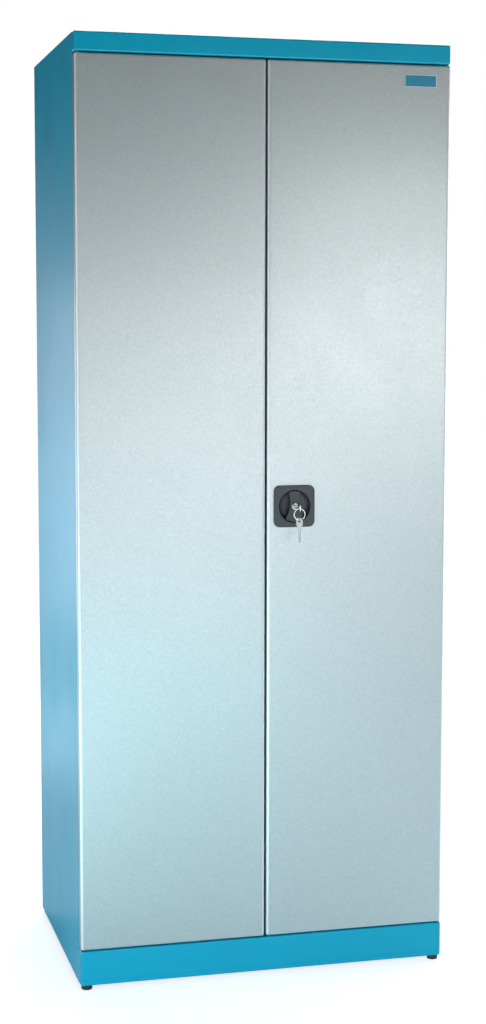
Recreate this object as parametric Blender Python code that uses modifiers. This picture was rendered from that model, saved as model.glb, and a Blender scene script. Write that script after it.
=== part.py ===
"""Tall two-door steel tool cabinet, built as an assembly of its separate pieces.

Metres, +Z up, front towards -Y. The floor is Z = 0 and the doors are closed, unlocked.
Every piece is placed in the cabinet's own frame, whose Y = 0 is halfway through its depth.
The root empty then moves the whole cabinet back by half of what the key stands out in front.
"""
import math

import bmesh
import bpy
from mathutils import Vector

# Outside sizes
cabinet_width = 0.790
cabinet_depth = 0.550
cabinet_height = 1.950
foot_height = 0.010
crown_height = 0.039
plinth_height = 0.073

# Sheet metal and the clearances that all pieces share
carcass_sheet = 0.001
door_sheet = 0.001
shelf_sheet = 0.0012
seat_gap = 0.0003
running_gap = 0.0003
cut_overrun = 0.002
fold_radius = 0.002
weld_distance = 0.00001

# Carcass
front_flange = 0.025
back_flange = 0.018
roof_flange = 0.020
floor_flange = 0.025
base_leg = 0.030
long_edge_radius = 0.007
short_edge_radius = 0.0035

# Feet
foot_radius = 0.0115
foot_inset = 0.0145
foot_chamfer = 0.0015
foot_stem_radius = 0.003
foot_stem_length = 0.012

# Shelf system
upright_width = 0.028
upright_depth = 0.012
upright_end_gap = 0.012
upright_setback = 0.075
slot_pitch = 0.050
slot_width = 0.014
slot_height = 0.005
first_slot_height = 0.060
shelf_slots = (6, 13, 20, 27)
bearer_leg = 0.014
bearer_drop = 0.020
bearer_sheet = 0.0015
hook_reach = 0.004
hook_play = 0.0008
shelf_drop = 0.028
shelf_front_setback = 0.040
shelf_side_gap = 0.003

# Doors
door_thickness = 0.020
centre_gap = 0.003
door_end_gap = 0.003
door_back_gap = 0.003
door_lip = 0.016
stiffener_width = 0.050
stiffener_foot = 0.014
stiffener_depth = 0.014
stiffener_end_gap = 0.030
stiffener_share = 0.56

# Door pivots, which stand in bushes in the crown and the plinth
pivot_inset = 0.008
pivot_radius = 0.0025
pivot_collar_radius = 0.0042
pivot_stub = 0.012
pivot_journal = 0.011
bush_wall = 0.0015
bush_flange_radius = 0.0057
bush_length = 0.007

# Handle set
handle_from_centre = 0.0595
handle_height = 0.999
plate_size = 0.087
plate_corner = 0.0125
plate_thickness = 0.005
plate_rim = 0.0015
dish_radius = 0.034
dish_depth = 0.012
dish_floor = 0.0025
boss_radius = 0.0365
boss_clearance = 0.0006
backplate_size = 0.086
backplate_sheet = 0.0015
grip_reach = 0.0325
grip_top_half_width = 0.0130
grip_waist_half_width = 0.0108
grip_bottom_half_width = 0.0220
grip_proud = 0.0015
grip_thickness = 0.0068
grip_edge = 0.001
hub_radius = 0.0105
barrel_radius = 0.0072
barrel_proud = 0.0025
barrel_gap = 0.0006
plug_radius = 0.0046
plug_proud = 0.0006
spindle_head = 0.001
spindle_side = 0.0070
cam_radius = 0.0195
cam_sheet = 0.003
cam_pin_radius = 0.0025
cam_pin_offset = 0.0099
tongue_length = 0.076
tongue_width = 0.018
tongue_sheet = 0.003

# Locking rods
rod_width = 0.010
rod_sheet = 0.003
yoke_height = 0.014
yoke_slack = 0.00075
rod_rest_recess = 0.002
rod_hole_gap = 0.0008
guide_foot = 0.009
guide_sheet = 0.0012
guide_length = 0.030
guide_share = 0.50

# Keys
key_sheet = 0.002
key_bow_length = 0.018
key_bow_width = 0.0175
key_bow_corner = 0.0045
key_hole_radius = 0.0035
key_hole_inset = 0.0055
key_shank_width = 0.0080
key_shank_length = 0.0060
key_blade_width = 0.0062
key_blade_length = 0.0270
key_standout = 0.0380
key_tip = 0.0031
ring_radius = 0.0116
ring_wire = 0.0009
ring_play_in_key = 0.00085
ring_play_in_spare = 0.0012
spare_twist = math.radians(42)

# Name plate
badge_width = 0.069
badge_height = 0.025
badge_thickness = 0.0015
badge_from_side = 0.0323
badge_from_door_top = 0.0205
badge_edge = 0.0005

# Planes worked out from the sizes above
half_width = cabinet_width / 2
front = -cabinet_depth / 2
back = cabinet_depth / 2
carcass_front = front + door_thickness + door_back_gap
door_bottom = foot_height + plinth_height + door_end_gap
door_top = cabinet_height - crown_height - door_end_gap
door_height = door_top - door_bottom
door_width = half_width - centre_gap / 2
door_back = front + door_thickness
rail_depth = door_thickness + door_back_gap - seat_gap
inside_half = half_width - carcass_sheet - seat_gap
floor_top = foot_height + plinth_height
plate_front = front - plate_thickness
grip_front = plate_front - grip_proud
barrel_front = grip_front - barrel_proud
dish_back = plate_front + dish_depth + dish_floor
backplate_front = dish_back + seat_gap
cam_front = backplate_front + backplate_sheet + running_gap
rod_front = cam_front + cam_sheet + running_gap
tongue_front = max(rod_front + rod_sheet, door_back) + running_gap
barrel_back = cam_front - spindle_head - seat_gap
spindle_end = tongue_front + tongue_sheet
cam_turn_radius = cam_pin_offset * math.sqrt(2)
key_front = barrel_front - key_standout
hole_front = key_front + key_hole_inset
spare_half_depth = (key_bow_width * math.cos(spare_twist) + key_sheet * math.sin(spare_twist)) / 2
key_reach = front - min(key_front, hole_front - spare_half_depth)
rod_offset = (cam_turn_radius + cam_pin_offset) / 2

# The ring's wire lies in the foot of the key's hole, with play enough for the ring to swing
ring_top = ring_wire + ring_play_in_key - key_hole_radius
ring_middle = ring_top - ring_radius
ring_foot = ring_middle - ring_radius

# Sides of a round cutter or pin where a call gives no other number
round_steps = 32


def clear_scene():
    for thing in list(bpy.data.objects):
        bpy.data.objects.remove(thing, do_unlink=True)


def new_collection(name):
    made = bpy.data.collections.new(name)
    bpy.context.scene.collection.children.link(made)
    return made


def linear(level):
    """One sRGB channel, 0 to 1, as linear light."""
    return level / 12.92 if level <= 0.04045 else ((level + 0.055) / 1.055) ** 2.4


def finish(name, colour, roughness, metallic=0.0):
    made = bpy.data.materials.new(name)
    made.use_nodes = True
    shader = made.node_tree.nodes["Principled BSDF"]
    levels = [int(colour[i : i + 2], 16) / 255 for i in (1, 3, 5)]
    shader.inputs["Base Color"].default_value = [linear(level) for level in levels] + [1.0]
    shader.inputs["Roughness"].default_value = roughness
    shader.inputs["Metallic"].default_value = metallic
    made.diffuse_color = shader.inputs["Base Color"].default_value
    return made


clear_scene()
parts = new_collection("tool_cabinet")
cutters = new_collection("cutters")
finishes = {
    "blue": finish("blue_powder_coat", "#2A94B8", 0.42),
    "grey": finish("silver_hammer_paint", "#B4BEC2", 0.40, 0.35),
    "zinc": finish("galvanised_sheet", "#A9AEB0", 0.45, 0.80),
    "steel": finish("zinc_plated_steel", "#B9BBB8", 0.32, 0.95),
    "nickel": finish("nickel_plate", "#D9D8D0", 0.18, 1.0),
    "black": finish("charcoal_moulding", "#44494C", 0.48),
    "nylon": finish("black_nylon", "#26282A", 0.60),
    "label": finish("blue_label_plate", "#3A7F9B", 0.35),
}


def add_carrier(name, at, parent=None):
    """An empty at a place in the cabinet's frame. Its own place is kept for what hangs on it."""
    made = bpy.data.objects.new(name, None)
    made.empty_display_size = foot_radius
    parts.objects.link(made)
    made.parent = parent
    origin = Vector(parent["place"]) if parent else Vector((0, 0, 0))
    made.location = Vector(at) - origin
    made["place"] = tuple(at)
    return made


def put(name, mesh, look, at, carrier, turn=(0, 0, 0)):
    made = bpy.data.objects.new(name, mesh)
    parts.objects.link(made)
    made.parent = carrier
    made.location = Vector(at) - Vector(carrier["place"])
    made.rotation_euler = turn
    if look:
        mesh.materials.append(finishes[look])
    return made


def as_cutter(thing):
    parts.objects.unlink(thing)
    cutters.objects.link(thing)
    thing.hide_render = True
    thing.display_type = "WIRE"
    return thing


def boolean(target, other, operation="DIFFERENCE"):
    step = target.modifiers.new(operation.lower(), "BOOLEAN")
    step.operation = operation
    step.solver = "EXACT"
    step.object = as_cutter(other)


def mesh_of(name, bm):
    mesh = bpy.data.meshes.new(name)
    bm.to_mesh(mesh)
    bm.free()
    return mesh


def box_mesh(name, size):
    bm = bmesh.new()
    bmesh.ops.create_cube(bm, size=1)
    bmesh.ops.scale(bm, vec=Vector(size), verts=bm.verts)
    return mesh_of(name, bm)


def cylinder_mesh(name, radius, length, steps=round_steps):
    """A cylinder along local Z, from 0 up to its length."""
    bm = bmesh.new()
    bmesh.ops.create_cone(bm, cap_ends=True, segments=steps, radius1=radius, radius2=radius, depth=length)
    bmesh.ops.translate(bm, vec=(0, 0, length / 2), verts=bm.verts)
    return mesh_of(name, bm)


def pressed_pan(name, width, length, depth, sheet, lip=0, long_radius=0, short_radius=0):
    """A folded tray: its face on local Z = 0 looking up, its walls running down, open below.

    The long radius rounds the edges along local Y, the short one those along local X and the corners.
    """
    bm = bmesh.new()
    bmesh.ops.create_cube(bm, size=1)
    bmesh.ops.scale(bm, vec=(width, length, depth), verts=bm.verts)
    bmesh.ops.translate(bm, vec=(0, 0, -depth / 2), verts=bm.verts)
    bm.normal_update()
    open_face = min(bm.faces, key=lambda face: face.normal.z)
    if lip:
        bmesh.ops.inset_individual(bm, faces=[open_face], thickness=lip, use_even_offset=True)
    bmesh.ops.delete(bm, geom=[open_face], context="FACES_ONLY")
    widest = max(long_radius, short_radius)
    weight = bm.edges.layers.float.new("bevel_weight_edge")
    for edge in bm.edges:
        a, b = (vert.co for vert in edge.verts)
        along = b - a
        on_face = max(a.z, b.z) > -depth / 2
        if widest and on_face:
            runs_long = abs(along.y) > max(abs(along.x), abs(along.z))
            edge[weight] = (long_radius if runs_long else short_radius) / widest
    mesh = mesh_of(name, bm)
    return mesh, widest, sheet


def put_pan(name, pan, look, at, carrier, turn=(0, 0, 0), steps=3):
    mesh, radius, sheet = pan
    made = put(name, mesh, look, at, carrier, turn)
    if radius:
        rounding = made.modifiers.new("rounded_edges", "BEVEL")
        rounding.limit_method = "WEIGHT"
        rounding.width = radius
        rounding.segments = steps
    wall = made.modifiers.new("wall", "SOLIDIFY")
    wall.thickness = sheet
    wall.offset = -1
    wall.use_even_offset = True
    return made


def put_folded(name, path, run, sheet, thicken, look, at, carrier, axis="Z"):
    """A strip folded along a path of points and run along an axis.

    The path lies in XY for a run along +Z, in YZ for +X, and in XZ for -Y.
    The sheet thickens to the right of the path (1) or to its left (-1), seen from the run's far end.
    """
    corner = {
        "Z": lambda u, v, w: (u, v, w),
        "X": lambda u, v, w: (w, u, v),
        "Y": lambda u, v, w: (u, -w, v),
    }[axis]
    bm = bmesh.new()
    low = [bm.verts.new(corner(u, v, 0)) for u, v in path]
    high = [bm.verts.new(corner(u, v, run)) for u, v in path]
    for i in range(len(path) - 1):
        bm.faces.new((low[i], low[i + 1], high[i + 1], high[i]))
    made = put(name, mesh_of(name, bm), look, at, carrier)
    wall = made.modifiers.new("wall", "SOLIDIFY")
    wall.thickness = sheet
    wall.offset = thicken
    wall.use_even_offset = True
    return made


def put_turned(name, profile, look, at, carrier, turn=(0, 0, 0), steps=24):
    """A profile of (radius, height) points, turned round local Z."""
    bm = bmesh.new()
    ring = [bm.verts.new((radius, 0, height)) for radius, height in profile]
    for a, b in zip(ring, ring[1:]):
        bm.edges.new((a, b))
    if profile[0][0] > 0:
        bm.edges.new((ring[-1], ring[0]))
    made = put(name, mesh_of(name, bm), look, at, carrier, turn)
    spin = made.modifiers.new("turned", "SCREW")
    spin.axis = "Z"
    spin.angle = math.tau
    spin.steps = steps
    spin.render_steps = steps
    spin.use_merge_vertices = True
    spin.merge_threshold = weld_distance
    spin.use_smooth_shade = True
    return made


def arc(centre, radius, start, end, steps):
    """Points on an arc, angles in degrees."""
    angles = [math.radians(start + (end - start) * i / steps) for i in range(steps + 1)]
    return [(centre[0] + radius * math.cos(a), centre[1] + radius * math.sin(a)) for a in angles]


def circle(radius, steps, centre=(0, 0)):
    return arc(centre, radius, 0, 360, steps)[:-1]


def rounded_rectangle(low, high, radius, steps=6):
    (x0, y0), (x1, y1) = low, high
    corners = (
        ((x1 - radius, y1 - radius), 0),
        ((x0 + radius, y1 - radius), 90),
        ((x0 + radius, y0 + radius), 180),
        ((x1 - radius, y0 + radius), 270),
    )
    return [point for centre, start in corners for point in arc(centre, radius, start, start + 90, steps)]


def rectangle(low, high):
    return [low, (high[0], low[1]), high, (low[0], high[1])]


def outline_mesh(name, loops, thickness):
    """Flat outlines with their holes, filled and thickened from local Z = 0 up."""
    flat = bpy.data.curves.new(name, "CURVE")
    flat.dimensions = "2D"
    flat.fill_mode = "BOTH"
    flat.extrude = thickness / 2
    for loop in loops:
        spline = flat.splines.new("POLY")
        spline.points.add(len(loop) - 1)
        for point, (x, y) in zip(spline.points, loop):
            point.co = (x, y, 0, 1)
        spline.use_cyclic_u = True
    guide = bpy.data.objects.new(name, flat)
    parts.objects.link(guide)
    bpy.context.view_layer.update()
    solid = bpy.data.meshes.new_from_object(guide.evaluated_get(bpy.context.evaluated_depsgraph_get()))
    bpy.data.objects.remove(guide)
    bm = bmesh.new()
    bm.from_mesh(solid)
    bmesh.ops.remove_doubles(bm, verts=bm.verts, dist=weld_distance)
    bmesh.ops.translate(bm, vec=(0, 0, thickness / 2), verts=bm.verts)
    bm.to_mesh(solid)
    bm.free()
    return solid


def break_edges(thing, width, steps=2):
    rounding = thing.modifiers.new("broken_edges", "BEVEL")
    rounding.limit_method = "ANGLE"
    rounding.angle_limit = math.radians(50)
    rounding.width = width
    rounding.segments = steps


# Local Z of a piece with this turn looks out of the front, and its local Y is up
facing_front = (math.pi / 2, 0, 0)

root = add_carrier("cabinet_root", (0, 0, 0))
hinge_x = {"left": -half_width + pivot_inset, "right": half_width - pivot_inset}
side_sign = {"left": -1, "right": 1}
axis_of = {
    side: add_carrier(side + "_door_axis", (hinge_x[side], front + pivot_inset, 0), root)
    for side in ("left", "right")
}
handle_axis = add_carrier(
    "handle_axis", (handle_from_centre, plate_front, handle_height), axis_of["right"]
)
key_axis = add_carrier("key_axis", (handle_from_centre, barrel_front, handle_height), handle_axis)
ring_axis = add_carrier(
    "ring_axis", (handle_from_centre, hole_front, handle_height + ring_top), key_axis
)
spare_axis = add_carrier(
    "spare_axis", (handle_from_centre, hole_front, handle_height + ring_foot), ring_axis
)


def foot_hole(target, x, y):
    hole = cylinder_mesh("foot_hole", foot_stem_radius + seat_gap, 4 * cut_overrun, 16)
    low = foot_height - 2 * cut_overrun
    boolean(target, put("foot_hole", hole, None, (x, y, low), root))


def foot_places():
    """Side, end and centre of each foot. All stand the same way in from the outer corner."""
    for side, sign in side_sign.items():
        for end, y in (("front", front), ("rear", back)):
            inward = 1 if end == "front" else -1
            yield side, end, sign * (half_width - foot_inset), y + inward * foot_inset


def build_side_panels():
    for side, sign in side_sign.items():
        outer = sign * half_width
        path = [
            (outer - sign * front_flange, carcass_front),
            (outer, carcass_front),
            (outer, back),
            (outer - sign * back_flange, back),
        ]
        height = cabinet_height - foot_height
        at = (0, 0, foot_height)
        put_folded(side + "_side_panel", path, height, carcass_sheet, -sign, "blue", at, root)


def build_roof_and_floor():
    """Two trays between the side panels, a seat's gap behind the front flanges and inside the back ones."""
    low = carcass_front + carcass_sheet + seat_gap
    high = back - carcass_sheet - seat_gap
    middle = (0, (low + high) / 2)
    size = (2 * inside_half, high - low)
    roof = pressed_pan("roof_panel", *size, roof_flange, carcass_sheet)
    put_pan("roof_panel", roof, "blue", (*middle, cabinet_height), root)
    back_wall = carcass_sheet + seat_gap
    high -= back_wall
    middle = (0, (low + high) / 2)
    size = (2 * inside_half, high - low)
    floor = pressed_pan("floor_panel", *size, floor_flange, carcass_sheet)
    put_pan("floor_panel", floor, "blue", (*middle, floor_top), root)


def build_back_panel():
    """A flat sheet held in front of the side panels' back flanges, under the roof's own flange."""
    low = foot_height + base_leg + seat_gap
    high = cabinet_height - roof_flange - seat_gap
    size = (2 * inside_half, carcass_sheet, high - low)
    y = back - carcass_sheet - seat_gap - carcass_sheet / 2
    put("back_panel", box_mesh("back_panel", size), "blue", (0, y, (low + high) / 2), root)


def bush_seat(target, side, height):
    """The hole for a pivot's bush through a rail's wall."""
    radius = pivot_radius + running_gap + bush_wall + seat_gap
    hole = cylinder_mesh("bush_seat", radius, 4 * cut_overrun, 24)
    at = (hinge_x[side], front + pivot_inset, height - 2 * cut_overrun)
    boolean(target, put("bush_seat", hole, None, at, root))


def rod_hole(target, x, height, carrier):
    gap = 2 * rod_hole_gap
    hole = box_mesh("rod_hole", (rod_width + gap, rod_sheet + gap, 4 * cut_overrun))
    boolean(target, put("rod_hole", hole, None, (x, rod_front + rod_sheet / 2, height), carrier))


def build_front_rails():
    """The crown above the doors and the plinth below them, flush with the doors' faces."""
    radii = {"long_radius": long_edge_radius, "short_radius": short_edge_radius}
    heights = {
        "crown_rail": (cabinet_height - crown_height, cabinet_height),
        "plinth_rail": (foot_height, floor_top),
    }
    for name, (low, high) in heights.items():
        pan = pressed_pan(name, cabinet_width, high - low, rail_depth, carcass_sheet, **radii)
        rail = put_pan(name, pan, "blue", (0, front, (low + high) / 2), root, facing_front)
        on_top = name == "plinth_rail"
        seat = high if on_top else low
        for side in side_sign:
            bush_seat(rail, side, seat)
        rod_side = rod_offset if on_top else -rod_offset
        rod_hole(rail, handle_from_centre + rod_side, seat, root)
        if on_top:
            for _, end, x, y in foot_places():
                if end == "front":
                    foot_hole(rail, x, y)


def build_rear_base_rail():
    """A channel at the foot of the back, which carries the rear feet."""
    web = back - carcass_sheet - seat_gap
    path = [
        (web - base_leg, foot_height),
        (web, foot_height),
        (web, foot_height + base_leg),
    ]
    at = (-inside_half, 0, 0)
    rail = put_folded(
        "rear_base_rail", path, 2 * inside_half, carcass_sheet, -1, "blue", at, root, axis="X"
    )
    for _, end, x, y in foot_places():
        if end == "rear":
            foot_hole(rail, x, y)


def build_feet():
    top = foot_height - seat_gap
    profile = [
        (0, top + foot_stem_length),
        (foot_stem_radius, top + foot_stem_length),
        (foot_stem_radius, top),
        (foot_radius - foot_chamfer, top),
        (foot_radius, top - foot_chamfer),
        (foot_radius, foot_chamfer),
        (foot_radius - foot_chamfer, 0),
        (0, 0),
    ]
    for side, end, x, y in foot_places():
        put_turned(side + "_" + end + "_foot", profile, "nylon", (x, y, 0), root, steps=20)


def upright_places():
    """Name and centre line of each upright, the front pair set back behind the shelves' front edge."""
    shelf_front = carcass_front + shelf_front_setback
    y_of = {"front": shelf_front + upright_setback, "rear": back - upright_setback - carcass_sheet}
    for side, sign in side_sign.items():
        for end, y in y_of.items():
            yield side, sign, end, y


upright_bottom = floor_top + upright_end_gap
upright_top = cabinet_height - roof_flange - upright_end_gap
slot_count = int((upright_top - upright_bottom - first_slot_height) // slot_pitch) + 1


def slot_level(number):
    return upright_bottom + first_slot_height + number * slot_pitch


def build_uprights():
    """Slotted channels on the side walls, which the shelf bearers hook into."""
    for side, sign, end, y in upright_places():
        wall = sign * inside_half
        face = wall - sign * upright_depth
        half = upright_width / 2
        path = [(wall, y - half), (face, y - half), (face, y + half), (wall, y + half)]
        name = side + "_" + end + "_upright"
        run = upright_top - upright_bottom
        at = (0, 0, upright_bottom)
        upright = put_folded(name, path, run, carcass_sheet, sign, "zinc", at, root)
        slot = box_mesh("slot", (2 * cut_overrun, slot_width, slot_height))
        slots = put("slot", slot, None, (face, y, slot_level(0)), root)
        row = slots.modifiers.new("row", "ARRAY")
        row.count = slot_count
        row.use_relative_offset = False
        row.use_constant_offset = True
        row.constant_offset_displace = (0, 0, slot_pitch)
        boolean(upright, slots)


def build_bearers():
    """An angle under each end of each shelf, hooked into the two uprights on that side."""
    centres = {side: [] for side in side_sign}
    for side, _, _, y in upright_places():
        centres[side].append(y)
    hook_width = slot_width - 2 * hook_play
    hook_height = slot_height - 2 * hook_play
    for number, slot in enumerate(shelf_slots, 1):
        for side, sign in side_sign.items():
            near, far = min(centres[side]), max(centres[side])
            start, end = far + upright_width / 2, near - upright_width / 2
            face = sign * (inside_half - upright_depth - seat_gap)
            ledge = slot_level(slot) + bearer_drop / 2
            path = [(face, ledge - bearer_drop), (face, ledge), (face - sign * bearer_leg, ledge)]
            name = "shelf_" + str(number) + "_" + side + "_bearer"
            bearer = put_folded(
                name, path, start - end, bearer_sheet, -sign, "zinc", (0, start, 0), root, axis="Y"
            )
            length = hook_reach + bearer_sheet
            for y in (near, far):
                hook = box_mesh("hook", (length, hook_width, hook_height))
                x = face + sign * (hook_reach - length / 2)
                boolean(bearer, put("hook", hook, None, (x, y, slot_level(slot)), root), "UNION")


def build_shelves():
    """Trays with their edges turned down, resting on the bearers."""
    half = inside_half - upright_depth - seat_gap - bearer_sheet - shelf_side_gap
    low = carcass_front + shelf_front_setback
    high = back - 2 * (carcass_sheet + seat_gap) - shelf_side_gap
    for number, slot in enumerate(shelf_slots, 1):
        name = "shelf_" + str(number)
        top = slot_level(slot) + bearer_drop / 2 + seat_gap + shelf_drop
        pan = pressed_pan(
            name, 2 * half, high - low, shelf_drop, shelf_sheet,
            long_radius=fold_radius, short_radius=fold_radius,
        )
        put_pan(name, pan, "zinc", (0, (low + high) / 2, top), root, steps=2)


def build_door(side, sign):
    x = sign * (centre_gap / 2 + door_width / 2)
    middle = (door_bottom + door_top) / 2
    carrier = axis_of[side]
    pan = pressed_pan(
        side + "_door_panel", door_width, door_height, door_thickness, door_sheet, door_lip,
        long_edge_radius, short_edge_radius,
    )
    panel = put_pan(side + "_door_panel", pan, "grey", (x, front, middle), carrier, facing_front)
    for height in (door_bottom, door_top):
        hole = cylinder_mesh("pivot_hole", pivot_radius + seat_gap, 4 * cut_overrun, 16)
        at = (hinge_x[side], front + pivot_inset, height - 2 * cut_overrun)
        boolean(panel, put("pivot_hole", hole, None, at, carrier))
    return panel


def build_stiffener(side, sign):
    """A hat section down the inside of the door's skin."""
    skin = front + door_sheet + seat_gap
    half = stiffener_width / 2
    middle = sign * (centre_gap / 2 + door_width * stiffener_share)
    deep = skin + stiffener_depth
    path = [
        (middle - half - stiffener_foot, skin),
        (middle - half, skin),
        (middle - half, deep),
        (middle + half, deep),
        (middle + half, skin),
        (middle + half + stiffener_foot, skin),
    ]
    low = door_bottom + stiffener_end_gap
    run = door_height - 2 * stiffener_end_gap
    name = side + "_door_stiffener"
    put_folded(name, path, run, door_sheet, -1, "grey", (0, 0, low), axis_of[side])


def pivot_profile():
    """Stub in the door, collar in the gap and journal in the bush, from the rail's side down."""
    collar = (door_end_gap - 3 * seat_gap) / 2
    low = seat_gap
    high = low + collar
    return [
        (0, high + pivot_journal),
        (pivot_radius, high + pivot_journal),
        (pivot_radius, high),
        (pivot_collar_radius, high),
        (pivot_collar_radius, low),
        (pivot_radius, low),
        (pivot_radius, low - pivot_stub),
        (0, low - pivot_stub),
    ]


def bush_profile():
    """Flange in the gap and sleeve up through the rail's wall, whose underside is local Z = 0."""
    flange = (door_end_gap - 3 * seat_gap) / 2
    bore = pivot_radius + running_gap
    sleeve = bore + bush_wall
    return [
        (bore, bush_length),
        (sleeve, bush_length),
        (sleeve, -seat_gap),
        (bush_flange_radius, -seat_gap),
        (bush_flange_radius, -seat_gap - flange),
        (bore, -seat_gap - flange),
    ]


def build_pivots():
    upside_down = (math.pi, 0, 0)
    for side in side_sign:
        x, y = hinge_x[side], front + pivot_inset
        ends = (
            ("top", door_top, door_top + door_end_gap, (0, 0, 0)),
            ("bottom", door_bottom, door_bottom - door_end_gap, upside_down),
        )
        for end, door_end, rail_end, turn in ends:
            name = side + "_door_" + end
            put_turned(
                name + "_pivot", pivot_profile(), "steel", (x, y, door_end), axis_of[side], turn, 16
            )
            put_turned(name + "_bush", bush_profile(), "nylon", (x, y, rail_end), root, turn, 20)


def on_handle(y, x=0, z=0):
    """A place given from the handle's axis."""
    return (handle_from_centre + x, y, handle_height + z)


def build_handle_plate(door):
    """A square moulding with a round dish for the fingers, let into a hole in the door."""
    half = plate_size / 2
    slab = outline_mesh(
        "handle_plate", [rounded_rectangle((-half, -half), (half, half), plate_corner)],
        plate_thickness,
    )
    carrier = axis_of["right"]
    plate = put("handle_plate", slab, "black", on_handle(front - seat_gap), carrier, facing_front)
    break_edges(plate, plate_rim)
    depth = dish_back - plate_front - plate_rim
    boss = put(
        "boss", cylinder_mesh("boss", boss_radius, depth, 48), None, on_handle(dish_back), carrier,
        facing_front,
    )
    boolean(plate, boss, "UNION")
    rim_shares = ((1.0, 0.0), (0.97, 0.5), (0.88, 0.83), (0.70, 1.0), (0.0, 1.0))
    profile = [(0, cut_overrun), (dish_radius, cut_overrun)]
    profile += [(dish_radius * radius, -dish_depth * deep) for radius, deep in rim_shares]
    dish = put_turned("dish", profile, None, on_handle(plate_front - seat_gap), carrier, facing_front, 48)
    boolean(plate, dish)
    bore = cylinder_mesh("bore", barrel_radius + barrel_gap, dish_depth, 24)
    boolean(plate, put("bore", bore, None, on_handle(dish_back + cut_overrun), carrier, facing_front))
    opening = cylinder_mesh("door_opening", boss_radius + boss_clearance, 4 * cut_overrun, 48)
    at = on_handle(front + 2 * cut_overrun)
    boolean(door, put("door_opening", opening, None, at, carrier, facing_front))


def build_backplate():
    """The sheet inside the door that the plate clamps against."""
    half = backplate_size / 2
    rim = rounded_rectangle((-half, -half), (half, half), plate_corner)
    hole = circle(barrel_radius + 2 * barrel_gap, 24)
    mesh = outline_mesh("handle_backplate", [rim, hole], backplate_sheet)
    at = on_handle(backplate_front + backplate_sheet)
    put("handle_backplate", mesh, "steel", at, axis_of["right"], facing_front)


def grip_outline():
    """An hourglass between two arcs of the dish's circle, wider at its foot."""
    def end_angle(half_width_at_end):
        return math.degrees(math.asin(half_width_at_end / grip_reach))

    top, bottom = end_angle(grip_top_half_width), end_angle(grip_bottom_half_width)
    top_arc = arc((0, 0), grip_reach, 90 - top, 90 + top, 8)
    bottom_arc = arc((0, 0), grip_reach, 270 - bottom, 270 + bottom, 10)

    def flank(start, end):
        """From an end of one arc to an end of the other, drawn in to the waist by a quadratic curve."""
        pull = (math.copysign(2 * grip_waist_half_width, start[0]) - (start[0] + end[0]) / 2, 0)
        steps = [i / 8 for i in range(1, 8)]
        return [
            tuple((1 - t) ** 2 * a + 2 * t * (1 - t) * c + t**2 * b for a, c, b in zip(start, pull, end))
            for t in steps
        ]

    left = flank(top_arc[-1], bottom_arc[0])
    right = flank(bottom_arc[-1], top_arc[0])
    return top_arc + left + bottom_arc + right


def build_grip():
    mesh = outline_mesh("handle_grip", [grip_outline()], grip_thickness)
    at = on_handle(grip_front + grip_thickness)
    grip = put("handle_grip", mesh, "black", at, handle_axis, facing_front)
    break_edges(grip, grip_edge)
    hub_length = dish_depth + grip_proud - running_gap - seat_gap - grip_edge
    hub = cylinder_mesh("hub", hub_radius, hub_length, 24)
    at = on_handle(grip_front + grip_edge + hub_length)
    boolean(grip, put("hub", hub, None, at, handle_axis, facing_front), "UNION")
    bore = cylinder_mesh("grip_bore", barrel_radius + seat_gap, hub_length + 4 * cut_overrun, 24)
    at = on_handle(grip_front + hub_length + 3 * cut_overrun)
    boolean(grip, put("grip_bore", bore, None, at, handle_axis, facing_front))


def build_lock():
    """The barrel in the grip's hub and the plug that the key turns."""
    rim = 4 * seat_gap
    length = barrel_back - barrel_front
    bore = plug_radius + running_gap
    profile = [
        (bore, 0),
        (barrel_radius - rim, 0),
        (barrel_radius, -rim),
        (barrel_radius, -length),
        (bore, -length),
    ]
    put_turned("lock_barrel", profile, "nickel", on_handle(barrel_front), handle_axis, facing_front)
    plug_length = length - 2 * running_gap + plug_proud
    plug = put(
        "lock_plug", cylinder_mesh("lock_plug", plug_radius, plug_length, 20), "nickel",
        on_handle(barrel_front - plug_proud + plug_length), key_axis, facing_front,
    )
    keyway = box_mesh(
        "keyway",
        (key_sheet + 2 * seat_gap, 2 * key_blade_length, key_blade_width + 2 * seat_gap),
    )
    at = on_handle(barrel_front - plug_proud)
    boolean(plug, put("keyway", keyway, None, at, key_axis))


def build_spindle_and_cam():
    """The square spindle behind the barrel, the cam that drives the rods, and the locking tongue."""
    length = spindle_end + seat_gap - cam_front + spindle_head
    square = (spindle_side, length, spindle_side)
    middle = on_handle(spindle_end + seat_gap - length / 2)
    spindle = put("handle_spindle", box_mesh("handle_spindle", square), "steel", middle, handle_axis)
    head = cylinder_mesh("spindle_head", barrel_radius, spindle_head, 24)
    at = on_handle(cam_front - running_gap)
    boolean(spindle, put("spindle_head", head, None, at, handle_axis, facing_front), "UNION")
    hole_half = spindle_side / 2 + running_gap
    square_hole = rectangle((-hole_half, -hole_half), (hole_half, hole_half))
    disc = circle(cam_radius, 36)
    cam = put(
        "rod_cam", outline_mesh("rod_cam", [disc, square_hole], cam_sheet), "steel",
        on_handle(cam_front + cam_sheet), handle_axis, facing_front,
    )
    pin_length = cam_sheet + running_gap + rod_sheet
    for sign in (-1, 1):
        pin = cylinder_mesh("cam_pin", cam_pin_radius, pin_length, 16)
        offset = sign * cam_pin_offset
        at = on_handle(cam_front + cam_sheet / 2 + pin_length - cam_sheet / 2, offset, offset)
        boolean(cam, put("cam_pin", pin, None, at, handle_axis, facing_front), "UNION")
    half = tongue_width / 2
    bar = arc((0, 0), half, 0, 180, 10) + arc((0, half - tongue_length), half, 180, 360, 10)
    mesh = outline_mesh("locking_tongue", [bar, square_hole], tongue_sheet)
    at = on_handle(tongue_front + tongue_sheet)
    put("locking_tongue", mesh, "steel", at, handle_axis, facing_front)


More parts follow.
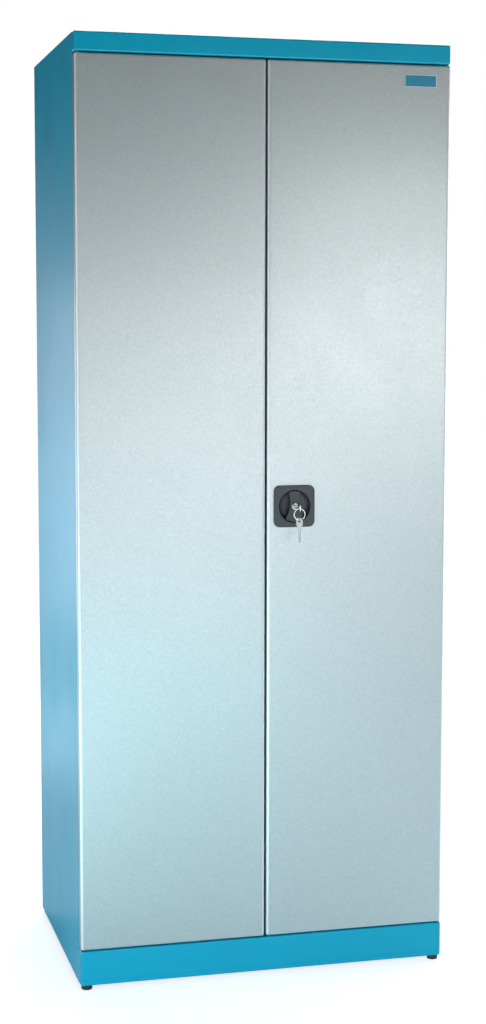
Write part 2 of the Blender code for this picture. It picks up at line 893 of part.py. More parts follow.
def build_rods():
    """Two flat rods, one each side of the spindle, each with a yoke round its cam pin."""
    for name, sign in (("upper_rod", 1), ("lower_rod", -1)):
        x = -sign * rod_offset
        half = rod_width / 2
        slot_z = -sign * cam_pin_offset
        door_end = door_top if sign > 0 else door_bottom
        tip = door_end - sign * rod_rest_recess - handle_height
        inner = spindle_side / 2 * math.sqrt(2) + running_gap
        outer = cam_turn_radius + cam_pin_radius + yoke_slack + half / 2
        near, far = -sign * inner, -sign * outer
        low, high = slot_z - sign * yoke_height / 2, slot_z + sign * yoke_height / 2
        bar = [
            (near, low), (near, high), (x + sign * half, high), (x + sign * half, tip),
            (x - sign * half, tip), (x - sign * half, high), (far, high), (far, low),
        ]
        slot_low = cam_pin_offset - cam_pin_radius - seat_gap
        slot_high = cam_turn_radius + cam_pin_radius + seat_gap
        slot_half = cam_pin_radius + yoke_slack
        slot = rectangle((-sign * slot_low, slot_z - slot_half), (-sign * slot_high, slot_z + slot_half))
        mesh = outline_mesh(name, [bar, slot], rod_sheet)
        put(name, mesh, "steel", on_handle(rod_front + rod_sheet), axis_of["right"], facing_front)


def build_rod_guides():
    """A bridge over each rod, fixed to the inside of the door's skin."""
    skin = front + door_sheet + seat_gap + guide_sheet
    over = rod_front + rod_sheet + running_gap + guide_sheet
    half = rod_width / 2 + rod_hole_gap + guide_sheet
    for name, sign, end in (("upper_rod_guide", 1, door_top), ("lower_rod_guide", -1, door_bottom)):
        x = handle_from_centre - sign * rod_offset
        middle = handle_height + (end - handle_height) * guide_share
        path = [
            (x - half - guide_foot, skin),
            (x - half, skin),
            (x - half, over),
            (x + half, over),
            (x + half, skin),
            (x + half + guide_foot, skin),
        ]
        at = (0, 0, middle - guide_length / 2)
        put_folded(name, path, guide_length, guide_sheet, 1, "steel", at, axis_of["right"])


def key_outline():
    """A key along local X, with its bow's outer end at 0 and its blade towards -X."""
    half_bow, half_shank, half_blade = key_bow_width / 2, key_shank_width / 2, key_blade_width / 2
    neck = -key_bow_length
    shoulder = neck - key_shank_length
    tip = shoulder - key_blade_length
    bow = rounded_rectangle((neck, -half_bow), (0, half_bow), key_bow_corner, 4)
    upper, lower = bow[: len(bow) // 2], bow[len(bow) // 2 :]
    blade = [
        (neck, half_shank), (shoulder, half_shank), (shoulder, half_blade),
        (tip + key_tip, half_blade), (tip, half_blade - key_tip), (tip + key_tip, -half_blade),
        (shoulder, -half_blade), (shoulder, -half_shank), (neck, -half_shank),
    ]
    hole = circle(key_hole_radius, 18, (-key_hole_inset, 0))
    return [upper + blade + lower, hole]


def build_keys():
    """One key in the lock, and a spare hung from it by a ring."""
    mesh = outline_mesh("key", key_outline(), key_sheet)
    edgewise = (math.pi / 2, 0, -math.pi / 2)
    put("key", mesh, "nickel", on_handle(key_front, key_sheet / 2), key_axis, edgewise)
    at = on_handle(hole_front, 0, ring_middle)
    bpy.ops.mesh.primitive_torus_add(
        major_radius=ring_radius, minor_radius=ring_wire, major_segments=36, minor_segments=8
    )
    torus = bpy.context.object
    mesh = torus.data
    bpy.data.objects.remove(torus)
    mesh.shade_smooth()
    put("key_ring", mesh, "nickel", at, ring_axis, facing_front)
    spare_drop = key_hole_radius - ring_wire - ring_play_in_spare
    top = ring_foot - spare_drop + key_hole_inset
    hung = (0, -math.pi / 2, spare_twist)
    sideways = key_sheet / 2 * math.cos(spare_twist)
    backwards = key_sheet / 2 * math.sin(spare_twist)
    at = on_handle(hole_front + backwards, sideways, top)
    spare = outline_mesh("spare_key", key_outline(), key_sheet)
    put("spare_key", spare, "nickel", at, spare_axis, hung)


def build_badge():
    """A bare name plate near the outer top corner of the right door."""
    mesh = box_mesh("name_plate", (badge_width, badge_thickness, badge_height))
    x = half_width - badge_from_side - badge_width / 2
    y = front - seat_gap - badge_thickness / 2
    z = door_top - badge_from_door_top - badge_height / 2
    plate = put("name_plate", mesh, "label", (x, y, z), axis_of["right"])
    break_edges(plate, badge_edge, 1)


build_side_panels()
build_roof_and_floor()
build_back_panel()
build_front_rails()
build_rear_base_rail()
build_feet()
build_uprights()
build_bearers()
build_shelves()
left_panel = build_door("left", -1)
right_panel = build_door("right", 1)
for door_side, door_sign in side_sign.items():
    build_stiffener(door_side, door_sign)
build_pivots()
build_handle_plate(right_panel)
build_backplate()
build_grip()
build_lock()
build_spindle_and_cam()
build_rods()
for rod_door_end, rod_sign in ((door_top, 1), (door_bottom, -1)):
    rod_hole(right_panel, handle_from_centre - rod_sign * rod_offset, rod_door_end, axis_of["right"])
build_rod_guides()
build_keys()
build_badge()
root.location.y = key_reach / 2
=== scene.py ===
from functools import partial
import math

import bmesh
import bpy
from mathutils import Euler, Matrix, Vector


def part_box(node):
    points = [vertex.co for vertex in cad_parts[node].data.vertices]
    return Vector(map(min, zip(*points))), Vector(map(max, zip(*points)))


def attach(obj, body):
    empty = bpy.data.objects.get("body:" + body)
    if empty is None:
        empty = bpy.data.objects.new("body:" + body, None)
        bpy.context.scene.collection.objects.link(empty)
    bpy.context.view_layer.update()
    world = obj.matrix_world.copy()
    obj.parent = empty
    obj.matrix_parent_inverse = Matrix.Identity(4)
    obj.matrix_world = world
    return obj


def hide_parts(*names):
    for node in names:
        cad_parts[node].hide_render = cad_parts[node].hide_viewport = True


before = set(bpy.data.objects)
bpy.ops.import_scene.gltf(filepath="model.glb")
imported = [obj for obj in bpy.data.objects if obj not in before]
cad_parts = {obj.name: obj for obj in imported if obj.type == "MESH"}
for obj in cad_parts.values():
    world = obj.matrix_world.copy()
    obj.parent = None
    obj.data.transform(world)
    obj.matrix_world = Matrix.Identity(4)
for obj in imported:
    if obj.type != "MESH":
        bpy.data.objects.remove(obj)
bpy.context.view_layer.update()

mm = 0.001
scene = bpy.context.scene
facingFront = Matrix.Rotation(math.pi / 2, 4, "X")  # local Z then looks out of the front, local Y up
print("frame loaded:", len(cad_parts), "nodes")


# Small tools

def hexColour(code):
    channels = [int(code[i:i + 2], 16) / 255 for i in (1, 3, 5)]
    return [c / 12.92 if c <= 0.04045 else ((c + 0.055) / 1.055) ** 2.4 for c in channels] + [1.0]


def feed(node, inputs):  # an input takes a value, a socket, or a node that stands for its first output
    for key, value in inputs.items():
        if isinstance(value, bpy.types.Node):
            value = value.outputs[0]
        if isinstance(value, bpy.types.NodeSocket):
            node.id_data.links.new(value, node.inputs[key])
        else:
            node.inputs[key].default_value = value
    return node


def addNode(tree, kind, inputs=None, **settings):
    made = tree.nodes.new(kind)
    for name, value in settings.items():
        setattr(made, name, value)
    return feed(made, inputs or {})


def sized(place, sizeMm, detail=2.0):  # inputs of a texture with features of about this size
    return {"Vector": place, "Scale": 1 / (sizeMm * mm), "Detail": detail}


def ranging(value, fromLow, fromHigh, toLow, toHigh):  # inputs of a Map Range
    return {"Value": value, "From Min": fromLow, "From Max": fromHigh, "To Min": toLow, "To Max": toHigh}


# Materials

def startMaterial(name, constants):
    made = bpy.data.materials.new(name)
    made.use_nodes = True
    feed(made.node_tree.nodes["Principled BSDF"], constants)
    add = partial(addNode, made.node_tree)
    return made, add, add("ShaderNodeTexCoord").outputs["Object"]


def finish(made, add, look, tintBy, roughBy, height, layers=(), reach=(0.3, 0.7)):
    tint = hexColour(look["colours"][0])
    for factor, code in ((tintBy, look["colours"][1]), *layers):
        tint = add("ShaderNodeMix", {0: factor, 6: tint, 7: hexColour(code)}, data_type="RGBA").outputs[2]
    rough = add("ShaderNodeMapRange", ranging(roughBy, *reach, *look["roughness"]))
    bump = add("ShaderNodeBump", {"Height": height, "Distance": look["depthMm"] * mm})
    shader = made.node_tree.nodes["Principled BSDF"]
    feed(shader, {"Base Color": tint, "Roughness": rough, "Normal": bump})
    return made


def powderCoat(name, look):  # polyester powder baked on steel: even satin with a slight orange peel
    made, add, place = startMaterial(name, look["shader"])
    peel = add("ShaderNodeTexNoise", sized(place, look["peelMm"]))
    cloud = add("ShaderNodeTexNoise", sized(place, look["cloudMm"], 4.0))
    return finish(made, add, look, cloud, cloud, peel)


def hammerPaint(name, look):  # aluminium flake in a stoved hammer enamel: small dimples and a fine sparkle
    made, add, place = startMaterial(name, look["shader"])
    drift = add("ShaderNodeTexNoise", sized(place, look["dimpleMm"] * 2))
    wander = add("ShaderNodeVectorMath", {0: drift.outputs[1], 3: look["dimpleMm"] * mm}, operation="SCALE")
    moved = add("ShaderNodeVectorMath", {0: place, 1: wander})
    dimples = add("ShaderNodeTexVoronoi", sized(moved, look["dimpleMm"], 0.0), feature="SMOOTH_F1")
    flakes = add("ShaderNodeTexVoronoi", sized(place, look["flakeMm"], 0.0))
    shade = add("ShaderNodeSeparateColor", {0: flakes.outputs["Color"]})
    cloud = add("ShaderNodeTexNoise", sized(place, look["cloudMm"], 3.0))
    gloss = add("ShaderNodeMath", {0: shade, 1: cloud}, operation="MULTIPLY")
    hollows = add("ShaderNodeMapRange", ranging(dimples, *look["hollowReach"], 0.0, look["hollowShow"]))
    # painted highlight: near-white is laid over rounded bends such as the doors' edges, where the surface
    # turns from the face towards the flank, standing in for lamp light caught there
    facing = add("ShaderNodeTexCoord").outputs["Normal"]
    front = add("ShaderNodeSeparateXYZ", {0: facing}).outputs["Y"]  # -1 on a door's face, 0 on its flank
    starts = add("ShaderNodeMapRange", ranging(front, *look["bendStarts"], 0.0, look["bendShow"]))
    ends = add("ShaderNodeMapRange", ranging(front, *look["bendEnds"], 1.0, 0.0))
    bend = add("ShaderNodeMath", {0: starts, 1: ends}, operation="MULTIPLY")
    layers = ((hollows, look["hollow"]), (bend, look["bend"]))
    return finish(made, add, look, shade, gloss, dimples, layers, (0.0, 0.6))


def galvanised(name, look):  # hot-dip zinc on sheet: grey spangles that each catch the light their own way
    made, add, place = startMaterial(name, {"Metallic": 1.0})
    spangle = add("ShaderNodeTexVoronoi", sized(place, look["spangleMm"], 0.0))
    shade = add("ShaderNodeSeparateColor", {0: spangle.outputs["Color"]})
    grain = add("ShaderNodeTexNoise", sized(place, look["grainMm"], 3.0))
    return finish(made, add, look, shade, shade.outputs[1], grain, reach=(0.0, 1.0))


def platedMetal(name, look):  # barrel-plated steel or brass: bright, with faint handling marks
    made, add, place = startMaterial(name, {"Metallic": 1.0})
    marks = add("ShaderNodeTexNoise", sized(place, look["markMm"], 5.0))
    return finish(made, add, look, marks, marks, marks)


def mouldedNylon(name, look):  # glass-filled polyamide from a spark-eroded mould: matt with a fine grain
    made, add, place = startMaterial(name, {})
    grain = add("ShaderNodeTexNoise", sized(place, look["grainMm"]))
    cloud = add("ShaderNodeTexNoise", sized(place, look["cloudMm"]))
    return finish(made, add, look, cloud, grain, grain)


def lacqueredPlate(name, look):  # brushed aluminium under lacquer: fine level lines below a clear gloss
    made, add, place = startMaterial(name, look["shader"])
    stretch = add("ShaderNodeMapping", {"Vector": place, "Scale": (look["stretch"], 1.0, 1.0)})
    lines = add("ShaderNodeTexNoise", sized(stretch, look["lineMm"]))
    return finish(made, add, look, lines, lines, lines)


brushing = {"lineMm": 0.35, "stretch": 0.03}
lacquer = {"Coat Weight": 0.5, "Coat Roughness": 0.12}
looks = {  # depthMm is the height of the relief, shader what is the same all over
    "blue": powderCoat("bluePowderCoat", {
        "colours": ("#02B5D9", "#03BBDF"), "roughness": (0.28, 0.34), "shader": {"Specular IOR Level": 0.35},
        "peelMm": 2.2, "depthMm": 0.03, "cloudMm": 140,
    }),
    "silver": hammerPaint("silverHammerPaint", {  # the dimples are drawn a little coarse, so that they show
        "colours": ("#B2B8B8", "#C0C4C3"), "roughness": (0.39, 0.33),
        "shader": {"Metallic": 0.6, "Coat Weight": 0.3, "Coat Roughness": 0.15},
        "dimpleMm": 5.0, "depthMm": 0.04, "flakeMm": 2.2, "cloudMm": 90,
        "hollow": "#ABB0B1", "hollowShow": 0.18, "hollowReach": (0.1, 0.8),
        # the bend colour is a painted highlight on rounded bends such as the doors' edges
        "bend": "#FBFCFC", "bendShow": 0.6, "bendStarts": (-0.99, -0.93), "bendEnds": (-0.6, -0.3),
    }),
    "zinc": galvanised("galvanisedSheet", {
        "colours": ("#9EA5A8", "#BCC2C4"), "roughness": (0.34, 0.48),
        "spangleMm": 9, "grainMm": 0.9, "depthMm": 0.01,
    }),
    "steel": platedMetal("zincPlatedSteel", {
        "colours": ("#BFC1BD", "#CDCFCC"), "roughness": (0.26, 0.36), "markMm": 6, "depthMm": 0.004,
    }),
    "nickel": platedMetal("nickelPlatedBrass", {
        "colours": ("#B4B2AA", "#C6C4BC"), "roughness": (0.18, 0.28), "markMm": 3, "depthMm": 0.002,
    }),
    "charcoal": mouldedNylon("charcoalPolyamide", {
        "colours": ("#3A3B3E", "#424345"), "roughness": (0.40, 0.52),
        "grainMm": 0.6, "depthMm": 0.02, "cloudMm": 30,
    }),
    "footNylon": mouldedNylon("blackPolyamide", {
        "colours": ("#232527", "#2B2D30"), "roughness": (0.42, 0.55),
        "grainMm": 0.8, "depthMm": 0.02, "cloudMm": 20,
    }),
    "trim": lacqueredPlate("satinAluminium", {
        "colours": ("#D9DCDB", "#E9EBEA"), "roughness": (0.30, 0.40), **brushing, "depthMm": 0.003,
        "shader": {"Metallic": 0.4, **lacquer},
    }),
    "badge": lacqueredPlate("blueLacqueredAluminium", {
        "colours": ("#2B8FB0", "#379CBC"), "roughness": (0.28, 0.38), **brushing, "depthMm": 0.004,
        "shader": {"Metallic": 0.25, **lacquer},
    }),
}
slotOf = {
    "blue": "blue_powder_coat", "silver": "silver_hammer_paint", "zinc": "galvanised_sheet",
    "steel": "zinc_plated_steel", "nickel": "nickel_plate", "charcoal": "charcoal_moulding",
    "footNylon": "black_nylon", "trim": "blue_label_plate", "badge": "blue_label_plate",
}
print("materials made:", len(looks))


# Making pieces

def camel(node):
    first, *rest = node.split("_")
    return first + "".join(word.capitalize() for word in rest)


def newPiece(name, shape):  # from a mesh, a curve or a bmesh, which this uses up
    name = camel(name)
    if isinstance(shape, bmesh.types.BMesh):
        bm, shape = shape, bpy.data.meshes.new(name)
        bm.to_mesh(shape)
        bm.free()
    made = bpy.data.objects.new(name, shape)
    scene.collection.objects.link(made)
    return made


def asMesh(piece):
    return bpy.data.meshes.new_from_object(piece.evaluated_get(bpy.context.evaluated_depsgraph_get()))


def modify(piece, kind, **settings):
    step = piece.modifiers.new(kind, kind)
    for key, value in settings.items():
        setattr(step, key, value)
    return piece


def settle(piece):  # the modifiers' result becomes the piece's own plain mesh
    result = asMesh(piece)
    piece.modifiers.clear()
    piece.data = result
    return piece


def wear(piece, look, body, *nodes, sharpAt=32):  # the finish, and the body that carries the piece
    piece.data.shade_smooth()
    piece.data.set_sharp_from_angle(angle=math.radians(sharpAt))
    settle(modify(piece, "WEIGHTED_NORMAL", keep_sharp=True))
    piece.data.materials.clear()
    piece.data.materials.append(looks[look])
    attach(piece, body)
    if nodes:
        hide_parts(*nodes)


def moveMesh(piece, matrix):
    piece.data.transform(matrix)
    return piece


def cut(piece, cutter):
    settle(modify(piece, "BOOLEAN", operation="DIFFERENCE", object=cutter))
    bpy.data.objects.remove(cutter)


def boxAt(low, high):
    bm = bmesh.new()
    low, high = Vector(low), Vector(high)
    place = Matrix.Translation((low + high) / 2) @ Matrix.Diagonal((*(high - low), 1))
    bmesh.ops.create_cube(bm, size=1, matrix=place)
    return newPiece("cutter", bm)


def roundHole(piece, centre, radiusMm, steps=48, turn=Matrix()):  # upright, unless turned
    bm = bmesh.new()
    radius, place = radiusMm * mm, Matrix.Translation(centre) @ turn
    size = {"radius1": radius, "radius2": radius, "depth": holeDepth}
    bmesh.ops.create_cone(bm, cap_ends=True, segments=steps, matrix=place, **size)
    cut(piece, newPiece("cutter", bm))


def holeAt(piece, node, z, radiusMm, steps=48):  # through the node's middle
    low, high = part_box(node)
    roundHole(piece, ((low.x + high.x) / 2, (low.y + high.y) / 2, z), radiusMm, steps)


def filleted(path, radius, steps=6):
    path = [Vector(point) for point in path]
    points = path[:1]
    for before, corner, after in zip(path, path[1:], path[2:]):
        into, out = (corner - before).normalized(), (after - corner).normalized()
        side = math.copysign(1, into.x * out.y - into.y * out.x)
        turn = into.angle(out)
        start = corner - into * radius * math.tan(turn / 2)
        centre = start + Vector((-into.y, into.x)) * side * radius
        points += [
            centre + Matrix.Rotation(side * turn * i / steps, 2) @ (start - centre) for i in range(steps + 1)
        ]
    return points + path[-1:]


def foldedSheet(node, path, kit, toRight, along="z"):  # bent along the path, and as long as the node
    bm = bmesh.new()
    points = filleted(path, kit["bendMm"] * mm)
    rows = []
    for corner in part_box(node):
        end = getattr(corner, along)
        rows.append([bm.verts.new((p.x, p.y, end) if along == "z" else (end, p.x, p.y)) for p in points])
    near, far = rows
    for corners in zip(near, near[1:], far[1:], far):
        bm.faces.new(corners)
    wall = {"thickness": kit["sheetMm"] * mm, "offset": 1 if toRight else -1}
    return settle(modify(newPiece(node, bm), "SOLIDIFY", use_even_offset=True, **wall))


def pressedPan(node, size, sheetMm, radiiMm, lipMm=0, steps=8):
    depth = size[2]  # its face is local Z = 0 and its walls run down, open below
    longRadius, shortRadius, lipRadius = radiiMm
    bm = bmesh.new()
    place = Matrix.Translation((0, 0, -depth / 2)) @ Matrix.Diagonal((*size, 1))
    bmesh.ops.create_cube(bm, size=1, matrix=place)
    bm.normal_update()
    openFace = min(bm.faces, key=lambda face: face.normal.z)
    rim = list(openFace.edges)
    if lipMm:
        bmesh.ops.inset_individual(bm, faces=[openFace], thickness=lipMm * mm, use_even_offset=True)
    bmesh.ops.delete(bm, geom=[openFace], context="FACES_ONLY")
    weight = bm.edges.layers.float.new("bevel_weight_edge")
    for edge in bm.edges:
        a, b = (vert.co for vert in edge.verts)
        along = b - a
        if max(a.z, b.z) > -depth / 2:
            runsLong = abs(along.y) > max(abs(along.x), abs(along.z))
            edge[weight] = (longRadius if runsLong else shortRadius) / longRadius
        elif lipMm and edge in rim:
            edge[weight] = lipRadius / longRadius
    pan = modify(newPiece(node, bm), "BEVEL", limit_method="WEIGHT", width=longRadius * mm, segments=steps)
    return settle(modify(pan, "SOLIDIFY", thickness=sheetMm * mm, offset=-1, use_even_offset=True))


def frontPan(node, kit):  # a pressing that looks out of the front
    low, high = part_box(node)
    size = (high.x - low.x, high.z - low.z, high.y - low.y)
    radii = (kit["longEdgeMm"], kit["shortEdgeMm"], kit["lipEdgeMm"])
    pan = pressedPan(node, size, kit["sheetMm"], radii, kit["lipMm"])
    place = ((low.x + high.x) / 2, low.y, (low.z + high.z) / 2)
    return moveMesh(pan, Matrix.Translation(place) @ facingFront), low, high


def merged(mesh, reach):  # without doubles and lines across flat faces
    bm = bmesh.new()
    bm.from_mesh(mesh)
    bmesh.ops.remove_doubles(bm, verts=bm.verts, dist=reach)
    bmesh.ops.dissolve_limit(bm, angle_limit=math.radians(0.5), verts=bm.verts, edges=bm.edges)
    return bm


def breakEdges(piece, widthMm, steps=3, degrees=40):
    sharp = {"limit_method": "ANGLE", "angle_limit": math.radians(degrees)}
    return settle(modify(piece, "BEVEL", width=widthMm * mm, segments=steps, **sharp))


def refine(node, widthMm, look, body, steps=3):  # a CAD piece again, with its edges broken
    piece = newPiece(node, merged(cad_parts[node].data, 0.002 * mm))
    wear(breakEdges(piece, widthMm, steps, 35), look, body, node)


def turned(name, profile, matrix, steps):  # (radius, height) in mm round local Z, closed or axis to axis
    bm = bmesh.new()
    verts = [bm.verts.new((radius * mm, 0, height * mm)) for radius, height in profile]
    ends = verts[1:] + (verts[:1] if profile[0][0] > 0 else [])
    edges = [bm.edges.new(pair) for pair in zip(verts, ends)]
    bmesh.ops.spin(bm, geom=verts + edges, cent=(0, 0, 0), axis=(0, 0, 1), angle=math.tau, steps=steps)
    bmesh.ops.remove_doubles(bm, verts=bm.verts, dist=0.001 * mm)
    bmesh.ops.recalc_face_normals(bm, faces=bm.faces)
    return moveMesh(newPiece(name, bm), matrix)


def outlined(name, loops, thickness, matrix=Matrix()):  # outlines in mm with their holes, up from local Z = 0
    flat = bpy.data.curves.new(name, "CURVE")
    flat.dimensions, flat.fill_mode, flat.extrude = "2D", "BOTH", thickness / 2
    for loop in loops:
        spline = flat.splines.new("POLY")
        spline.points.add(len(loop) - 1)
        for point, (x, y) in zip(spline.points, loop):
            point.co = (x * mm, y * mm, 0, 1)
        spline.use_cyclic_u = True
    guide = newPiece(name, flat)
    bm = merged(asMesh(guide), 0.001 * mm)
    bpy.data.objects.remove(guide)
    bmesh.ops.translate(bm, vec=(0, 0, thickness / 2), verts=bm.verts)
    return moveMesh(newPiece(name, bm), matrix)


def arc(centre, radius, start, end, steps):
    angles = [math.radians(start + (end - start) * i / steps) for i in range(steps + 1)]
    return [(centre[0] + radius * math.cos(a), centre[1] + radius * math.sin(a)) for a in angles]


def roundedRectangle(halfWidth, halfHeight, radius, steps=8, centreX=0):
    loop = []
    for sx, sy, start in ((1, 1, 0), (-1, 1, 90), (-1, -1, 180), (1, -1, 270)):
        corner = (centreX + sx * (halfWidth - radius), sy * (halfHeight - radius))
        loop += arc(corner, radius, start, start + 90, steps)
    return loop


# Geometry Nodes trees

def startTree(name, inputs):  # each input's kind is that of its value
    tree = bpy.data.node_groups.new(name, "GeometryNodeTree")
    for direction in ("INPUT", "OUTPUT"):
        tree.interface.new_socket("Geometry", in_out=direction, socket_type="NodeSocketGeometry")
    tree.interface.new_socket("Material", in_out="INPUT", socket_type="NodeSocketMaterial")
    kinds = {bool: "Bool", int: "Int", float: "Float", tuple: "Vector", Euler: "Rotation"}
    for label, value in inputs.items():
        kind = "NodeSocket" + kinds[type(value)]
        tree.interface.new_socket(label, in_out="INPUT", socket_type=kind).default_value = value
    add = partial(addNode, tree)
    return add, add("NodeGroupInput").outputs


def endTree(add, given, geometry):
    real = add("GeometryNodeRealizeInstances", {0: geometry})
    painted = add("GeometryNodeSetMaterial", {0: real, "Material": given["Material"]})
    return add("NodeGroupOutput", {0: painted}).id_data


def grow(piece, tree, look, values):
    piece.data.materials.append(looks[look])
    step = piece.modifiers.new(tree.name, "NODES")
    step.node_group = tree
    values["Material"] = looks[look]
    for item in tree.interface.items_tree:
        if item.in_out == "INPUT" and item.name in values:
            step[item.identifier] = values[item.name]
    return settle(piece)


def punchRow(add, given, punch, offset):  # takes a row of them out of the piece
    row = add("GeometryNodeMeshLine", {
        "Count": given["Count"], "Start Location": given["Start"], "Offset": offset,
    })
    punches = add("GeometryNodeInstanceOnPoints", {"Points": row, "Instance": punch})
    real = add("GeometryNodeRealizeInstances", {0: punches})
    punched = add("GeometryNodeMeshBoolean", {0: given["Geometry"], "Mesh 2": real}, solver="EXACT")
    return endTree(add, given, punched)


def slotRowTree():  # a row of round-cornered slots punched through a sheet, up along Z
    add, given = startTree("Slot row", {
        "Count": 10, "Start": (0, 0, 0), "Pitch": 0.05, "Slot width": 0.014, "Slot height": 0.005,
        "Corner": 0.001, "Reach": 0.004,
    })
    ends = []
    for share in (-0.5, 0.5):
        half = add("ShaderNodeMath", {0: given["Reach"], 1: share}, operation="MULTIPLY")
        ends.append(add("ShaderNodeCombineXYZ", {"X": half}))
    path = add("GeometryNodeCurvePrimitiveLine", {"Start": ends[0], "End": ends[1]})
    section = {"Width": given["Slot height"], "Height": given["Slot width"]}
    outline = add("GeometryNodeCurvePrimitiveQuadrilateral", section)
    corners = {"Curve": outline, "Radius": given["Corner"], "Count": 4}
    rounded = add("GeometryNodeFilletCurve", corners, mode="POLY")
    punch = add("GeometryNodeCurveToMesh", {"Curve": path, "Profile Curve": rounded, "Fill Caps": True})
    return punchRow(add, given, punch, add("ShaderNodeCombineXYZ", {"Z": given["Pitch"]}))


def dimpleRowTree():  # spot welds: shallow round dimples pressed into a sheet at each point of a line
    add, given = startTree("Weld row", {"Count": 10, "Start": (0, 0, 0), "Step": (0, 0, 0.1), "Ball": 0.012})
    ball = add("GeometryNodeMeshIcoSphere", {"Radius": given["Ball"], "Subdivisions": 5})
    return punchRow(add, given, ball, given["Step"])


def headTree():  # a pan-head screw or a blind rivet at each vertex, looking along -Y or +Y
    add, given = startTree("Fastener heads", {
        "Radius": 0.004, "Height": 0.002, "Recess": 0.003, "Recess width": 0.0008,
        "Turn": Euler(), "Twist": 0.6, "Recessed": True,
    })
    ratio = add("ShaderNodeMath", {0: given["Height"], 1: given["Radius"]}, operation="DIVIDE")
    squash = add("ShaderNodeCombineXYZ", {"X": 1.0, "Y": 1.0, "Z": ratio})
    ball = add("GeometryNodeMeshUVSphere", {"Segments": 28, "Rings": 16, "Radius": given["Radius"]})
    dome = add("GeometryNodeTransform", {"Geometry": ball, "Scale": squash})
    tall = add("ShaderNodeMath", {0: given["Height"], 1: 1.2}, operation="MULTIPLY")
    lift = add("ShaderNodeCombineXYZ", {"Z": tall})
    cross = add("GeometryNodeMeshBoolean", operation="UNION", solver="EXACT")
    for long, wide in (("X", "Y"), ("Y", "X")):
        size = add("ShaderNodeCombineXYZ", {long: given["Recess"], wide: given["Recess width"], "Z": tall})
        bar = add("GeometryNodeMeshCube", {"Size": size})
        feed(cross, {"Mesh 2": add("GeometryNodeTransform", {"Geometry": bar, "Translation": lift})})
    head = add("GeometryNodeMeshBoolean", {0: dome, "Mesh 2": cross}, solver="EXACT")
    chosen = add("GeometryNodeSwitch", {0: given["Recessed"], 1: dome, 2: head}, input_type="GEOMETRY")
    heads = add("GeometryNodeInstanceOnPoints", {
        "Points": given["Geometry"], "Instance": chosen, "Rotation": given["Turn"],
    })
    index = add("GeometryNodeInputIndex")
    angle = add("ShaderNodeMath", {0: index, 1: given["Twist"]}, operation="MULTIPLY")
    spin = add("ShaderNodeCombineXYZ", {"Z": angle})
    twisted = add("GeometryNodeRotateInstances", {"Instances": heads, "Rotation": spin, "Local Space": True})
    return endTree(add, given, twisted)


def splitRingTree():  # flat spring wire: two turns side by side, with a short step from one to the other
    add, given = startTree("Split ring", {
        "Radius": 0.0116, "Height": 0.0017, "Width": 0.0008, "Pitch": 0.0009, "Turns": 1.94, "Steps": 260,
    })
    line = add("GeometryNodeCurvePrimitiveLine")
    points = add("GeometryNodeResampleCurve", {"Curve": line, "Count": given["Steps"]})
    along = add("GeometryNodeSplineParameter").outputs["Factor"]
    whole = add("ShaderNodeMath", {0: given["Turns"], 1: math.tau}, operation="MULTIPLY")
    angle = add("ShaderNodeMath", {0: along, 1: whole}, operation="MULTIPLY")
    place = add("ShaderNodeCombineXYZ")
    for axis, function in (("X", "COSINE"), ("Y", "SINE")):
        part = add("ShaderNodeMath", {0: angle}, operation=function)
        feed(place, {axis: add("ShaderNodeMath", {0: part, 1: given["Radius"]}, operation="MULTIPLY")})
    step = add("ShaderNodeMapRange", ranging(along, 0.475, 0.525, -0.5, 0.5), interpolation_type="SMOOTHSTEP")
    feed(place, {"Z": add("ShaderNodeMath", {0: step, 1: given["Pitch"]}, operation="MULTIPLY")})
    coil = add("GeometryNodeSetPosition", {"Geometry": points, "Position": place})
    level = add("GeometryNodeSetCurveNormal", {"Curve": coil}, mode="Z_UP")
    section = {"Width": given["Height"], "Height": given["Width"]}
    outline = add("GeometryNodeCurvePrimitiveQuadrilateral", section)
    corner = add("ShaderNodeMath", {0: given["Width"], 1: 0.35}, operation="MULTIPLY")
    rounded = add("GeometryNodeFilletCurve", {"Curve": outline, "Radius": corner, "Count": 3}, mode="POLY")
    wire = add("GeometryNodeCurveToMesh", {"Curve": level, "Profile Curve": rounded, "Fill Caps": True})
    return endTree(add, given, wire)


slotTree, weldTree, headsTree, ringTree = slotRowTree(), dimpleRowTree(), headTree(), splitRingTree()


# Carcass: powder-coated sheet

carcass = {
    "sheetMm": 1, "bendMm": 2, "sideFlangeMm": 25, "backFlangeMm": 18, "longEdgeMm": 7,
    "shortEdgeMm": 3.5, "lipMm": 0, "lipEdgeMm": 0, "backEdgeMm": 0.15,
    "bushHoleMm": 4.6, "stemHoleMm": 3.3, "rodHoleMm": (11.6, 4.6),  # radii, and the size of the flat one
    "rodX": {"upper_rod": 0.04755, "lower_rod": 0.07145},
}
welds = {"dimpleMm": 2.4, "depthMm": 0.22, "pitchMm": 96, "endMm": 40}  # radius and depth of one spot weld
weldBall = (welds["dimpleMm"] ** 2 + welds["depthMm"] ** 2) / (2 * welds["depthMm"]) * mm
weldLift = weldBall - welds["depthMm"] * mm  # how far the ball's centre stands off the sheet that it dents
holeDepth = 8 * mm
sides = {"left": -1, "right": 1}


def weldRow(piece, look, node, x, y):  # up the outside of the sheet that lies at that depth
    low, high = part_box(node)
    first, pitch = low.z + welds["endMm"] * mm, welds["pitchMm"] * mm
    grow(piece, weldTree, look, {
        "Count": int((high.z - first) / pitch), "Start": (x, y + weldLift, first), "Step": (0, 0, pitch),
        "Ball": weldBall,
    })


def makeSidePanels():
    for side, sign in sides.items():
        node = side + "_side_panel"
        low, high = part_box(node)
        outer = low.x if sign < 0 else high.x
        front, back = (outer - sign * carcass[key] * mm for key in ("sideFlangeMm", "backFlangeMm"))
        path = [(front, low.y), (outer, low.y), (outer, high.y), (back, high.y)]
        panel = foldedSheet(node, path, carcass, sign < 0)
        weldRow(panel, "blue", node, (outer + back) / 2, high.y)
        wear(panel, "blue", "cabinet", node)


